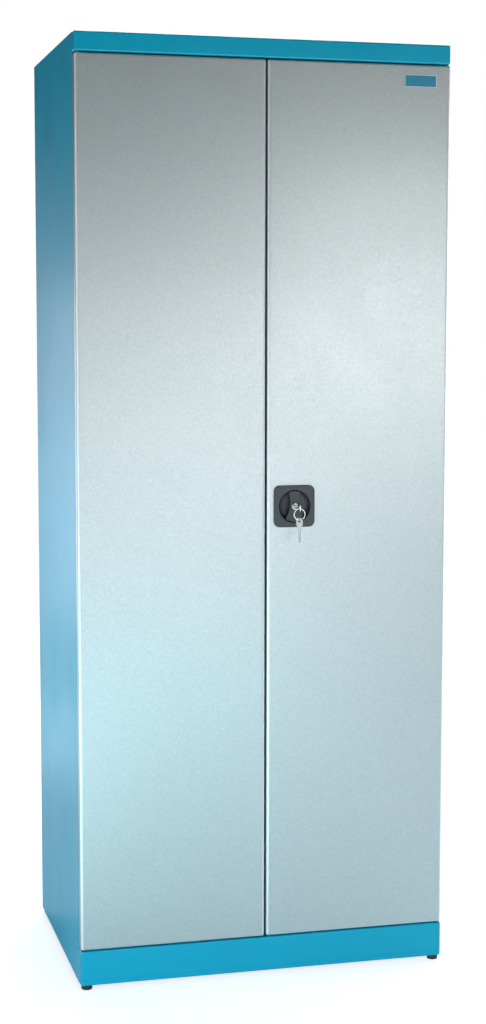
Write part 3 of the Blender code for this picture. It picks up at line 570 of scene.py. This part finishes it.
def rodHole(piece, rod, seat):
    low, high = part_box(rod)
    x, y = carcass["rodX"][rod], (low.y + high.y) / 2
    width, depth = (size / 2 * mm for size in carcass["rodHoleMm"])
    cut(piece, boxAt(
        (x - width, y - depth, seat - holeDepth / 2), (x + width, y + depth, seat + holeDepth / 2)
    ))


def makeFrontRails():
    for node, rod, end in (("crown_rail", "upper_rod", "top"), ("plinth_rail", "lower_rod", "bottom")):
        rail, low, high = frontPan(node, carcass)
        seat = low.z if end == "top" else high.z
        for side in sides:
            holeAt(rail, f"{side}_door_{end}_bush", seat, carcass["bushHoleMm"])
            if end == "bottom":
                holeAt(rail, side + "_front_foot", low.z, carcass["stemHoleMm"])
        rodHole(rail, rod, seat)
        wear(rail, "blue", "cabinet", node)


def makeTray(node, look, sheetMm):
    low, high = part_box(node)
    radii = (carcass["bendMm"], carcass["bendMm"], 0)
    tray = pressedPan(node, high - low, sheetMm, radii, steps=5)
    moveMesh(tray, Matrix.Translation((0, (low.y + high.y) / 2, high.z)))
    wear(tray, look, "cabinet", node)


def makeRearBaseRail():
    low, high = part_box("rear_base_rail")
    path = [(low.y, low.z), (high.y, low.z), (high.y, high.z)]
    rail = foldedSheet("rear_base_rail", path, carcass, False, "x")
    for side in sides:
        holeAt(rail, side + "_rear_foot", low.z, carcass["stemHoleMm"])
    wear(rail, "blue", "cabinet", "rear_base_rail")


feet = {
    "radiusMm": 11.5, "roundMm": 1.5, "stemMm": 3, "stemEdgeMm": 0.5, "stemLengthMm": 12,
    "hollowMm": 7.5, "hollowEdgeMm": 0.6, "hollowDepthMm": 1.2,
}


def makeFoot(node):
    low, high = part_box(node)
    top = (high.z - low.z) / mm
    rim, fillet, edge = top - feet["stemLengthMm"], feet["roundMm"], feet["stemEdgeMm"]
    shoulder = feet["radiusMm"] - fillet
    profile = [(0, top), (feet["stemMm"] - edge, top), (feet["stemMm"], top - edge), (feet["stemMm"], rim)]
    profile += arc((shoulder, rim - fillet), fillet, 90, 0, 5) + arc((shoulder, fillet), fillet, 0, -90, 5)
    hollow, deep = feet["hollowMm"], feet["hollowDepthMm"]
    profile += [(hollow, 0), (hollow - feet["hollowEdgeMm"], deep), (0, deep)]
    middle = (low + high) / 2
    foot = turned(node, profile, Matrix.Translation((middle.x, middle.y, low.z)), 64)
    wear(foot, "footNylon", "cabinet", node)


makeSidePanels()
makeFrontRails()
makeTray("roof_panel", "blue", carcass["sheetMm"])
makeTray("floor_panel", "blue", carcass["sheetMm"])
makeRearBaseRail()
refine("back_panel", carcass["backEdgeMm"], "blue", "cabinet", 2)
for node in ("left_front_foot", "left_rear_foot", "right_front_foot", "right_rear_foot"):
    makeFoot(node)
print("carcass made")


# Shelf system: galvanised

racking = {
    "sheetMm": 1, "shelfSheetMm": 1.2, "bendMm": 1.6, "slotMm": (14, 5), "slotCornerMm": 0.9, "pitchMm": 50,
    "firstSlotMm": 60, "slots": 36, "shelves": 4, "edgeMm": 0.4,
}


def makeUpright(node, sign):
    low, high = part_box(node)
    wall, face = (low.x, high.x) if sign < 0 else (high.x, low.x)
    path = [(wall, low.y), (face, low.y), (face, high.y), (wall, high.y)]
    upright = foldedSheet(node, path, racking, sign > 0)
    grow(upright, slotTree, "zinc", {
        "Count": racking["slots"], "Pitch": racking["pitchMm"] * mm,
        "Start": (face, (low.y + high.y) / 2, low.z + racking["firstSlotMm"] * mm),
        "Slot width": racking["slotMm"][0] * mm, "Slot height": racking["slotMm"][1] * mm,
        "Corner": racking["slotCornerMm"] * mm, "Reach": holeDepth / 2,
    })
    wear(upright, "zinc", "cabinet", node)


for side, sign in sides.items():
    for end in ("front", "rear"):
        makeUpright(f"{side}_{end}_upright", sign)
for number in range(1, racking["shelves"] + 1):
    shelf = "shelf_" + str(number)
    makeTray(shelf, "zinc", racking["shelfSheetMm"])
    for side in sides:
        refine(f"{shelf}_{side}_bearer", racking["edgeMm"], "zinc", "cabinet")
print("shelf system made")


# Doors: silver hammer paint

doors = {
    "sheetMm": 1, "lipMm": 16, "longEdgeMm": 7, "shortEdgeMm": 3.5, "lipEdgeMm": 2, "pivotHoleMm": 2.8,
    "openingMm": 37.1, "stiffenerFootMm": 14, "stiffenerWidthMm": 50, "bendMm": 1.6, "pinEdgeMm": 0.25,
}
handleX, handleZ = 0.0595, 0.999


def makeDoor(side):
    node = side + "_door_panel"
    door, low, high = frontPan(node, doors)
    for end, seat in (("top", high.z), ("bottom", low.z)):
        holeAt(door, f"{side}_door_{end}_pivot", seat, doors["pivotHoleMm"], 32)
    if side == "right":
        rodHole(door, "upper_rod", high.z)
        rodHole(door, "lower_rod", low.z)
        roundHole(door, (handleX, low.y, handleZ), doors["openingMm"], 96, facingFront)
    wear(door, "silver", side + "_door", node)


def makeStiffener(side):
    node = side + "_door_stiffener"
    low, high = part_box(node)
    middle, half = (low.x + high.x) / 2, doors["stiffenerWidthMm"] / 2 * mm
    foot, sheet = doors["stiffenerFootMm"] * mm, doors["sheetMm"] * mm
    front, deep = low.y, high.y - sheet
    leg = [(half + foot, front), (half, front), (half, deep)]
    path = [(middle - x, y) for x, y in leg] + [(middle + x, y) for x, y in leg[::-1]]
    stiffener = foldedSheet(node, path, doors, False)
    for sign in (-1, 1):
        weldRow(stiffener, "silver", node, middle + sign * (half + foot / 2), front + sheet)
    wear(stiffener, "silver", side + "_door", node)


for side in sides:
    makeDoor(side)
    makeStiffener(side)
    for end in ("top", "bottom"):
        refine(f"{side}_door_{end}_pivot", doors["pinEdgeMm"], "steel", side + "_door")
        refine(f"{side}_door_{end}_bush", doors["pinEdgeMm"], "footNylon", "cabinet")
print("doors made")


# Handle: charcoal mouldings

handle = {
    "halfMm": 43.5, "cornerMm": 12.5, "slabMm": 5, "rimMm": 1.5, "backEdgeMm": 0.4, "bossMm": 36.5,
    "bossEdgeMm": 0.6, "boreMm": 7.8, "boreEdgeMm": 0.5, "floorRingMm": 4, "sharpAt": 40,
    "dishMm": 34.0, "dishDepthMm": 12.0, "dishEdgeMm": 0.6, "dishShares": (  # of the radius and the depth
        (1.0, 0.10), (0.992, 0.30), (0.965, 0.53), (0.915, 0.73), (0.85, 0.87), (0.775, 0.955), (0.69, 1.0),
    ),
}
grip = {
    "reachMm": 32.5, "topMm": 13, "waistMm": 10.2, "footMm": 19.5, "thickMm": 6.8, "edgeMm": 1.2,
    "crownMm": 0.8, "backEdgeMm": 0.5, "hubMm": 10.5, "hubDepthMm": 12.9, "hubEdgeMm": 0.4, "boreMm": 7.5,
    "boreLipMm": ((0, 0.35), (0.3, 0.08)), "brimMm": 1.6, "faceShares": (0, 0.25, 0.5, 0.75, 0.92),
    "cornerPasses": 10, "points": 200, "flankSteps": 24,
}


def seatAt(y):  # faces a handle piece to the front, with its local Z = 0 at that depth
    return Matrix.Translation((handleX, y, handleZ)) @ facingFront


def loft(name, rings, matrix):  # each ring joined to the next, and the last to the first
    bm = bmesh.new()
    loops = [[bm.verts.new(point) for point in ring] for ring in rings]
    for loop, following in zip(loops, loops[1:] + loops[:1]):
        for corners in zip(loop, loop[1:] + loop[:1], following[1:] + following[:1], following):
            bm.faces.new(corners)
    bmesh.ops.recalc_face_normals(bm, faces=bm.faces)
    return moveMesh(newPiece(name, bm), matrix)


def squareLoop(half, corner, arcSteps=10, sideSteps=26):  # a rounded square with points all along it
    inner = half - corner
    loop = []
    for turn in range(4):
        spin = Matrix.Rotation(turn * math.pi / 2, 2)
        quarter = arc((inner, inner), corner, 0, 90, arcSteps)
        quarter += [(inner - 2 * inner * i / sideSteps, half) for i in range(1, sideSteps)]
        loop += [spin @ Vector(point) for point in quarter]
    return loop


def atHeight(loop, height):
    return [(point[0] * mm, point[1] * mm, height * mm) for point in loop]


def discAt(guide, radius, height):  # a circle whose points look the same way as the guide's
    return atHeight([Vector(point).normalized() * radius for point in guide], height)


def quarterRound(radius, steps=5):  # (inset, drop) pairs, from the face round to the side
    angles = [math.pi / 2 * i / steps for i in range(steps + 1)]
    return [(radius * (1 - math.sin(a)), radius * (1 - math.cos(a))) for a in angles]


def makeHandlePlate():
    low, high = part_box("handle_plate")
    back, floor = -(high.y - low.y) / mm, -handle["dishDepthMm"]
    slab, dish, ring = handle["slabMm"], handle["dishMm"], handle["floorRingMm"]
    boss, bossEdge, bore, boreEdge = (handle[key] for key in ("bossMm", "bossEdgeMm", "boreMm", "boreEdgeMm"))

    def square(inset, height):
        return atHeight(squareLoop(handle["halfMm"] - inset, handle["cornerMm"] - inset), height)

    disc = partial(discAt, squareLoop(handle["halfMm"], handle["cornerMm"]))
    rings = [square(inset, -drop) for inset, drop in quarterRound(handle["rimMm"])]
    rings += [square(0, handle["backEdgeMm"] - slab), square(handle["backEdgeMm"], -slab)]
    rings += [disc(boss, -slab), disc(boss, back + bossEdge), disc(boss - bossEdge, back), disc(bore, back)]
    rings += [disc(bore, floor - boreEdge), disc(bore + boreEdge, floor), disc(bore + ring, floor)]
    rings += [disc(dish * r, floor * d) for r, d in reversed(handle["dishShares"])]
    rings += [disc(dish + inset, -drop) for inset, drop in reversed(quarterRound(handle["dishEdgeMm"]))]
    plate = loft("handle_plate", rings, seatAt(low.y))
    wear(plate, "charcoal", "right_door", "handle_plate", sharpAt=handle["sharpAt"])


def resampled(loop, count):
    points = [Vector(point) for point in (*loop, loop[0])]
    ends = [0]
    for a, b in zip(points, points[1:]):
        ends.append(ends[-1] + (b - a).length)
    out, k = [], 0
    for i in range(count):
        target = ends[-1] * i / count
        while ends[k + 1] < target:
            k += 1
        out.append(points[k].lerp(points[k + 1], (target - ends[k]) / (ends[k + 1] - ends[k])))
    return out


def eased(loop, passes):
    for _ in range(passes):
        loop = [(loop[i - 1] + 2 * loop[i] + loop[(i + 1) % len(loop)]) / 4 for i in range(len(loop))]
    return loop


def drawnIn(loop, distance):  # moved square to the outline, inwards on one that runs anticlockwise
    moved = []
    for i in range(len(loop)):
        along = (loop[(i + 1) % len(loop)] - loop[i - 1]).normalized()
        moved.append(loop[i] + Vector((-along.y, along.x)) * distance)
    return moved


def gripFlank(start, end):  # a bow from one to the other, drawn in at the waist
    pull = math.copysign(2 * grip["waistMm"], start[0]) - (start[0] + end[0]) / 2
    bow = (start, (pull, (start[1] + end[1]) / 2), end)
    steps = grip["flankSteps"]
    shares = [((1 - t) ** 2, 2 * t * (1 - t), t ** 2) for t in (i / steps for i in range(1, steps))]
    return [tuple(sum(s * point[i] for s, point in zip(share, bow)) for i in (0, 1)) for share in shares]


def gripOutline():
    reach = grip["reachMm"]
    top, foot = (math.degrees(math.asin(grip[key] / reach)) for key in ("topMm", "footMm"))
    over, under = arc((0, 0), reach, 90 - top, 90 + top, 24), arc((0, 0), reach, 270 - foot, 270 + foot, 32)
    outline = over + gripFlank(over[-1], under[0]) + under + gripFlank(under[-1], over[0])
    return eased(resampled(outline, grip["points"]), grip["cornerPasses"])


def makeGrip():
    low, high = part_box("handle_grip")
    outline = gripOutline()
    edge, hub, bore = grip["edgeMm"], grip["hubMm"], grip["boreMm"]
    backEdge, hubEdge, crown, reach = (grip[key] for key in ("backEdgeMm", "hubEdgeMm", "crownMm", "reachMm"))
    back, hubBack = -grip["thickMm"], -grip["hubDepthMm"]

    def crowned(loop, drop):  # the face is proud over the hub and falls away towards both ends
        return [(x * mm, y * mm, (-drop - crown * (y / reach) ** 2) * mm) for x, y in loop]

    disc = partial(discAt, outline)
    brim = [point.normalized() * (bore + grip["brimMm"]) for point in outline]
    face = list(zip(brim, drawnIn(outline, edge)))
    rings = [disc(bore + out, -drop) for out, drop in grip["boreLipMm"]]
    rings += [crowned([a.lerp(b, share) for a, b in face], 0) for share in grip["faceShares"]]
    rings += [crowned(drawnIn(outline, inset), drop) for inset, drop in quarterRound(edge, 7)]
    rings += [atHeight(outline, back + backEdge), atHeight(drawnIn(outline, backEdge), back)]
    rings += [disc(hub, back), disc(hub, hubBack + hubEdge), disc(hub - hubEdge, hubBack)]
    made = loft("handle_grip", [*rings, disc(bore, hubBack)], seatAt(low.y))
    wear(made, "charcoal", "handle", "handle_grip", sharpAt=handle["sharpAt"])


makeHandlePlate()
makeGrip()
print("handle made")


# Lock: nickel-plated barrel, zinc-plated works behind it

lock = {
    "barrelMm": 7.2, "boreMm": 4.9, "rimMm": 1.1, "faceDishMm": 0.35, "boreLipMm": ((0.35, 0.05), (0.6, 0)),
    "backEdgeMm": 0.4, "plugMm": 4.6, "plugEdgeMm": 0.45, "keywayMm": (2.6, 6.8), "edgeMm": 0.3,
}
works = {
    "handle": ("handle_spindle", "rod_cam", "locking_tongue"), "upper_rod": ("upper_rod",),
    "lower_rod": ("lower_rod",), "right_door": ("handle_backplate", "upper_rod_guide", "lower_rod_guide"),
}


def makeBarrel():
    low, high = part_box("lock_barrel")
    back, radius, bore, edge = -(high.y - low.y) / mm, lock["barrelMm"], lock["boreMm"], lock["backEdgeMm"]
    profile = [(bore, back), (bore, -lock["faceDishMm"])]
    profile += [(bore + out, -drop) for out, drop in lock["boreLipMm"]]
    profile += [(radius - inset, -drop) for inset, drop in quarterRound(lock["rimMm"], 7)]
    profile += [(radius, back + edge), (radius - edge, back)]
    wear(turned("lock_barrel", profile, seatAt(low.y), 96), "nickel", "handle", "lock_barrel")


def makePlug():
    low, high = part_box("lock_plug")
    back, radius = -(high.y - low.y) / mm, lock["plugMm"]
    profile = [(radius - inset, -drop) for inset, drop in quarterRound(lock["plugEdgeMm"])]
    plug = turned("lock_plug", [(0, 0), *profile, (radius, back), (0, back)], seatAt(low.y), 64)
    width, height = (size / 2 * mm for size in lock["keywayMm"])
    cut(plug, boxAt(
        (handleX - width, low.y - holeDepth, handleZ - height),
        (handleX + width, high.y + holeDepth, handleZ + height),
    ))
    wear(plug, "nickel", "key", "lock_plug")


makeBarrel()
makePlug()
for body, nodes in works.items():
    for node in nodes:
        refine(node, lock["edgeMm"], "steel", body)


heads = {
    "screwMm": (4.2, 2.6), "rivetMm": (2.4, 1.1),  # radius and height
    "recessMm": (4.4, 0.9), "insetMm": 34, "guideFootMm": 9, "guideRowMm": 9, "guideSheetMm": 1.2,
}


def makeHeads(name, points, size, recessed):
    mesh = bpy.data.meshes.new(name)
    mesh.from_pydata(points, [], [])
    piece = grow(newPiece(name, mesh), headsTree, "steel", {
        "Radius": size[0] * mm, "Height": size[1] * mm,
        "Recess": heads["recessMm"][0] * mm, "Recess width": heads["recessMm"][1] * mm,
        "Turn": (-math.pi / 2, 0, 0), "Recessed": recessed,
    })
    wear(piece, "steel", "right_door")


def makeFasteners():
    low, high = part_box("handle_backplate")
    inset, foot, row = heads["insetMm"] * mm, heads["guideFootMm"] / 2 * mm, heads["guideRowMm"] * mm
    corners = [(handleX + a * inset, high.y, handleZ + b * inset) for a in (-1, 1) for b in (-1, 1)]
    makeHeads("backplateScrews", corners, heads["screwMm"], True)
    places = []
    for guide in ("upper_rod_guide", "lower_rod_guide"):
        low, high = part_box(guide)
        y, z = low.y + heads["guideSheetMm"] * mm, (low.z + high.z) / 2
        places += [(x, y, z + b * row) for x in (low.x + foot, high.x - foot) for b in (-1, 1)]
    makeHeads("guideRivets", places, heads["rivetMm"], False)


makeFasteners()
print("lock made")


# Keys: nickel-plated brass, a split ring of spring wire

keys = {
    "sheetMm": 2, "bowMm": (18, 17.5), "bowCornerMm": 4.5, "holeMm": 3.5, "holeInsetMm": 5.5,
    "shankMm": (6, 8), "bladeMm": (27, 6.2), "tipMm": 3.1, "tipFlatMm": 0.2, "edgeMm": 0.35,
    "mergeMm": 0.004, "twist": 28, "biteMm": 1.5, "biteDeeper": 1.2,
    "biteShares": ((0.24, 0.30), (0.38, 0.52), (0.52, 0.22), (0.66, 0.44), (0.80, 0.34)),  # along, into it
    "field": {"halfMm": (2.9, 6), "cornerMm": 1.6, "atMm": -13.4, "deepMm": 0.3},
    "groove": {"fromMm": -26, "toMm": -48, "sideMm": -0.9, "halfMm": 0.5, "deepMm": 0.45},
    "ringMm": 11.6, "wireMm": (1.7, 0.8), "wirePitchMm": 0.9,  # the ring's flat wire, stood on edge
}


def keyOutline():
    (bow, bowWide), (shank, shankWide), (blade, bladeWide) = keys["bowMm"], keys["shankMm"], keys["bladeMm"]
    neck, shoulder, tip = -bow, -bow - shank, -bow - shank - blade
    half, halfShank, flat = bladeWide / 2, shankWide / 2, keys["biteMm"] / 2
    rim = roundedRectangle(bow / 2, bowWide / 2, keys["bowCornerMm"], 8, -bow / 2)
    upper, lower = rim[:len(rim) // 2], rim[len(rim) // 2:]
    bites = []
    for along, deep in keys["biteShares"]:
        x, out, floor = shoulder - blade * along, flat + deep * half, half - deep * half * keys["biteDeeper"]
        bites += [(x + out, half), (x + flat, floor), (x - flat, floor), (x - out, half)]
    point = [(tip + keys["tipMm"], half), (tip, keys["tipFlatMm"]), (tip + keys["tipMm"], -half)]
    return [
        *upper, (neck, halfShank), (shoulder, halfShank), (shoulder, half), *bites, *point,
        (shoulder, -half), (shoulder, -halfShank), (neck, -halfShank), *lower,
    ]


def makeKey(node, name, matrix):
    thick, field, groove = keys["sheetMm"] * mm, keys["field"], keys["groove"]
    hole = arc((-keys["holeInsetMm"], 0), keys["holeMm"], 0, 350, 35)
    key = breakEdges(outlined(name, [keyOutline(), hole], thick), keys["edgeMm"])
    sunk = roundedRectangle(*field["halfMm"], field["cornerMm"], 6, field["atMm"])
    side, half, deep = groove["sideMm"], groove["halfMm"], groove["deepMm"] * mm
    for level in (0, thick):
        place = Matrix.Translation((0, 0, level - field["deepMm"] * mm))
        cut(key, outlined("cutter", [sunk], 2 * field["deepMm"] * mm, place))
        cut(key, boxAt(
            (groove["toMm"] * mm, (side - half) * mm, level - deep),
            (groove["fromMm"] * mm, (side + half) * mm, level + deep),
        ))
    bm, reach = bmesh.new(), keys["mergeMm"] * mm
    bm.from_mesh(key.data)
    bmesh.ops.remove_doubles(bm, verts=bm.verts, dist=reach)
    bmesh.ops.dissolve_degenerate(bm, edges=bm.edges, dist=reach)
    bm.to_mesh(key.data)
    bm.free()
    wear(moveMesh(key, matrix), "nickel", node, node)


def makeKeys():
    half = keys["sheetMm"] / 2 * mm
    edgewise = Matrix.Rotation(-math.pi / 2, 4, "Z") @ facingFront
    place = (handleX + half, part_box("key")[0].y, handleZ)
    makeKey("key", "keyInLock", Matrix.Translation(place) @ edgewise)
    low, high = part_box("key_ring")
    ringMiddle = (low + high) / 2
    ring = grow(newPiece("splitRing", bpy.data.meshes.new("splitRing")), ringTree, "nickel", {
        "Radius": keys["ringMm"] * mm, "Height": keys["wireMm"][0] * mm, "Width": keys["wireMm"][1] * mm,
        "Pitch": keys["wirePitchMm"] * mm,
    })
    wear(moveMesh(ring, Matrix.Translation(ringMiddle) @ facingFront), "nickel", "key_ring", "key_ring")
    twist = math.radians(keys["twist"])
    hung = Matrix.Rotation(twist, 4, "Z") @ Matrix.Rotation(-math.pi / 2, 4, "Y")
    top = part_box("spare_key")[1].z
    place = (handleX + half * math.cos(twist), ringMiddle.y + half * math.sin(twist), top)
    makeKey("spare_key", "spareKey", Matrix.Translation(place) @ hung)


makeKeys()
print("keys made")


# Name plate: left bare

badge = {
    "cornerMm": 0.8, "edgeMm": 0.4, "rimMm": (0.05, 1.3), "rimEdgeMm": 0.1, "riseMm": 0.25, "setInMm": 0.05,
}


def makeBadge():
    low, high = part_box("name_plate")
    half, middle, rise = (high - low) / 2, (low + high) / 2, badge["riseMm"] * mm
    thick, setIn = high.y - low.y - rise, badge["setInMm"] * mm
    seat = Matrix.Translation((middle.x, high.y, middle.z)) @ facingFront
    face, outside, inside = (
        roundedRectangle(half.x / mm - inset, half.z / mm - inset, badge["cornerMm"], 5)
        for inset in (0, *badge["rimMm"])
    )
    plate = breakEdges(outlined("name_plate", [face], thick), badge["edgeMm"])
    wear(moveMesh(plate, seat), "badge", "right_door", "name_plate")
    rim = breakEdges(outlined("namePlateRim", [outside, inside], rise + setIn, seat), badge["rimEdgeMm"], 2)
    wear(moveMesh(rim, Matrix.Translation((0, setIn - thick, 0))), "trim", "right_door")


makeBadge()
print("name plate made")


# What is left of the CAD wears its slot's material

bySlot = {slot: looks[look] for look, slot in slotOf.items()}
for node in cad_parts.values():
    for place in node.material_slots:
        place.material = bySlot[place.material.name.split(".")[0]]


# Stage

stage = {
    "floorMm": 40000, "white": "#F4F5F6", "roughness": 0.9, "ambient": 0.07,
    "lift": (0.72, 1.0), "liftMm": (500, 3000),  # the floor's own light near the middle and far out
    "gloss": "#C0EDFF", "glossLift": (0.03, 0.85),  # the same in a mirror, lowered near the cabinet's back as a painted shadow
    "shadeAt": (-0.45, 0.7, 0), "shadeMm": (600, 1400),
    "sky": ((0.0, 0.3), (0.03, 0.4), (0.06, 0.3), (0.1, 0.04), (1.0, 0.04)),  # height of the direction, level
    "eye": (-1.0011, -3.9345, 1.3704), "turn": 14.478, "dip": 5.720, "roll": 0.058, "lensMm": 65.15,
}
lamps = {  # place, what it looks at, size, watts, and the colour if it isn't white
    "leftLamp": ((0.35, -3, 1), (-0.1, -0.2, 1), (1, 1), 7),
    "rightLamp": ((1.3, -3, 1.5), (0.2, -0.2, 1.25), (0.9, 0.9), 8.5),
    "rightLowLamp": ((1.3, -3, 1), (0.2, -0.2, 1), (0.9, 0.9), 2.6),
    "edgeLamp": ((-1.2, -4.3, 0.7), (-0.4, -0.25, 0.7), (1, 1.8), 18, "#FFF9F3"),
    "kneeLamp": ((-0.3, -2, 0.3), (0, -0.2, 0.25), (1.8, 0.4), 3, "#9FEDFF"),
    "farKneeLamp": ((0.6, -3.4, 0.25), (0, -0.2, 0.4), (2.4, 0.4), 2.8),
    "toeLamp": ((-1, -1.4, 0.12), (-0.1, -0.25, 0.05), (1.8, 0.24), 5.6, "#9CECFF"),
    "rimLamp": ((-3.6, -1.1, 1), (-0.4, -0.25, 1), (0.35, 2.4), 14),
    "sideLamp": ((-2.8, -1.5, 0.8), (-0.4, 0.1, 0.8), (0.8, 1.4), 8),
    "sideLowLamp": ((-2.4, -0.6, 0.3), (-0.4, 0.1, 0.4), (1.2, 0.5), 3.5, "#E8F0FF"),
    "backLamp": ((-1.6, 2.6, 0.9), (-0.4, 0.1, 0.8), (0.7, 1.2), 13, "#EEF0FF"),
    "rightRimLamp": ((3.2, -2, 1.2), (0.3, -0.25, 1.1), (1, 2.2), 10),
    "farSideLamp": ((3.4, 0.9, 1.2), (0.4, 0.1, 1), (1.8, 2), 36),
    "rearLamp": ((2.5, 3.1, 1.4), (0.1, 0.3, 1), (1.6, 1.8), 30),
    "roofLamp": ((0.2, 1.4, 4), (0, 0.1, 1.9), (1.5, 1.5), 70),
}


def hold(name, data, place, turn):
    holder = bpy.data.objects.new(name, data)
    scene.collection.objects.link(holder)
    holder.matrix_world = Matrix.Translation(place) @ turn
    return holder


def makeCamera():
    seen = bpy.data.cameras.new("camera")
    seen.lens = stage["lensMm"]
    aim = Matrix()
    for degrees, axis in ((-stage["turn"], "Z"), (90 - stage["dip"], "X"), (stage["roll"], "Z")):
        aim = aim @ Matrix.Rotation(math.radians(degrees), 4, axis)
    scene.camera = hold("camera", seen, stage["eye"], aim)


def makeLamp(name, place, at, size, watts, colour="#FFFFFF"):
    lamp = bpy.data.lights.new(name, "AREA")
    lamp.shape, lamp.energy, lamp.color = "RECTANGLE", watts, hexColour(colour)[:3]
    lamp.size, lamp.size_y = size
    aim = (Vector(at) - Vector(place)).to_track_quat("-Z", "Y").to_matrix().to_4x4()
    hold(name, lamp, place, aim).visible_camera = False


def raySeen(add, *kinds):  # 1 for a ray of one of these kinds
    path = add("ShaderNodeLightPath").outputs
    seen = path[kinds[0]]
    for kind in kinds[1:]:
        seen = add("ShaderNodeMath", {0: seen, 1: path[kind]}, operation="MAXIMUM")
    return seen


def makeFloor():
    bm = bmesh.new()
    bmesh.ops.create_grid(bm, x_segments=1, y_segments=1, size=stage["floorMm"] / 2 * mm)
    floor = newPiece("floor", bm)
    constants = {"Base Color": hexColour(stage["white"]), "Roughness": stage["roughness"]}
    made, add, place = startMaterial("studioFloor", constants)
    white, mirrored = raySeen(add, "Is Camera Ray", "Is Transmission Ray"), raySeen(add, "Is Glossy Ray")
    total = add("ShaderNodeMath", operation="ADD")
    # the floor's glow as mirrors see it is lowered round a point behind the cabinet: a painted shadow of the
    # cabinet
    for index, ray, centre, levels, reach in (
        (0, white, (0, 0, 0), stage["lift"], stage["liftMm"]),
        (1, mirrored, stage["shadeAt"], stage["glossLift"], stage["shadeMm"]),
    ):
        away = add("ShaderNodeVectorMath", {0: place, 1: centre}, operation="DISTANCE").outputs["Value"]
        level = add("ShaderNodeMapRange", ranging(away, reach[0] * mm, reach[1] * mm, *levels))
        feed(total, {index: add("ShaderNodeMath", {0: ray, 1: level}, operation="MULTIPLY")})
    colours = {0: mirrored, 6: (1, 1, 1, 1), 7: hexColour(stage["gloss"])}
    tint = add("ShaderNodeMix", colours, data_type="RGBA").outputs[2]
    feed(made.node_tree.nodes["Principled BSDF"], {"Emission Color": tint, "Emission Strength": total})
    floor.data.materials.append(made)


def makeWorld():
    world = bpy.data.worlds.new("studio")
    scene.world = world
    world.use_nodes = True
    add = partial(addNode, world.node_tree)
    direction = add("ShaderNodeTexCoord").outputs["Generated"]
    up = add("ShaderNodeSeparateXYZ", {0: direction}).outputs["Z"]
    ramp = add("ShaderNodeValToRGB", {0: up})
    for index, (at, level) in enumerate(stage["sky"]):
        stop = ramp.color_ramp.elements[index] if index < 2 else ramp.color_ramp.elements.new(at)
        stop.position, stop.color = at, (level, level, level, 1)
    white = raySeen(add, "Is Camera Ray", "Is Transmission Ray")
    direct = raySeen(add, "Is Camera Ray", "Is Glossy Ray", "Is Transmission Ray")
    feed(world.node_tree.nodes["Background"], {
        "Color": add("ShaderNodeMix", {0: white, 6: ramp, 7: (1, 1, 1, 1)}, data_type="RGBA").outputs[2],
        "Strength": add("ShaderNodeMapRange", ranging(direct, 0.0, 1.0, stage["ambient"], 1.0)),
    })


makeCamera()
makeFloor()
makeWorld()
for name, values in lamps.items():
    makeLamp(name, *values)
scene.view_settings.view_transform = "Standard"
print("stage made")
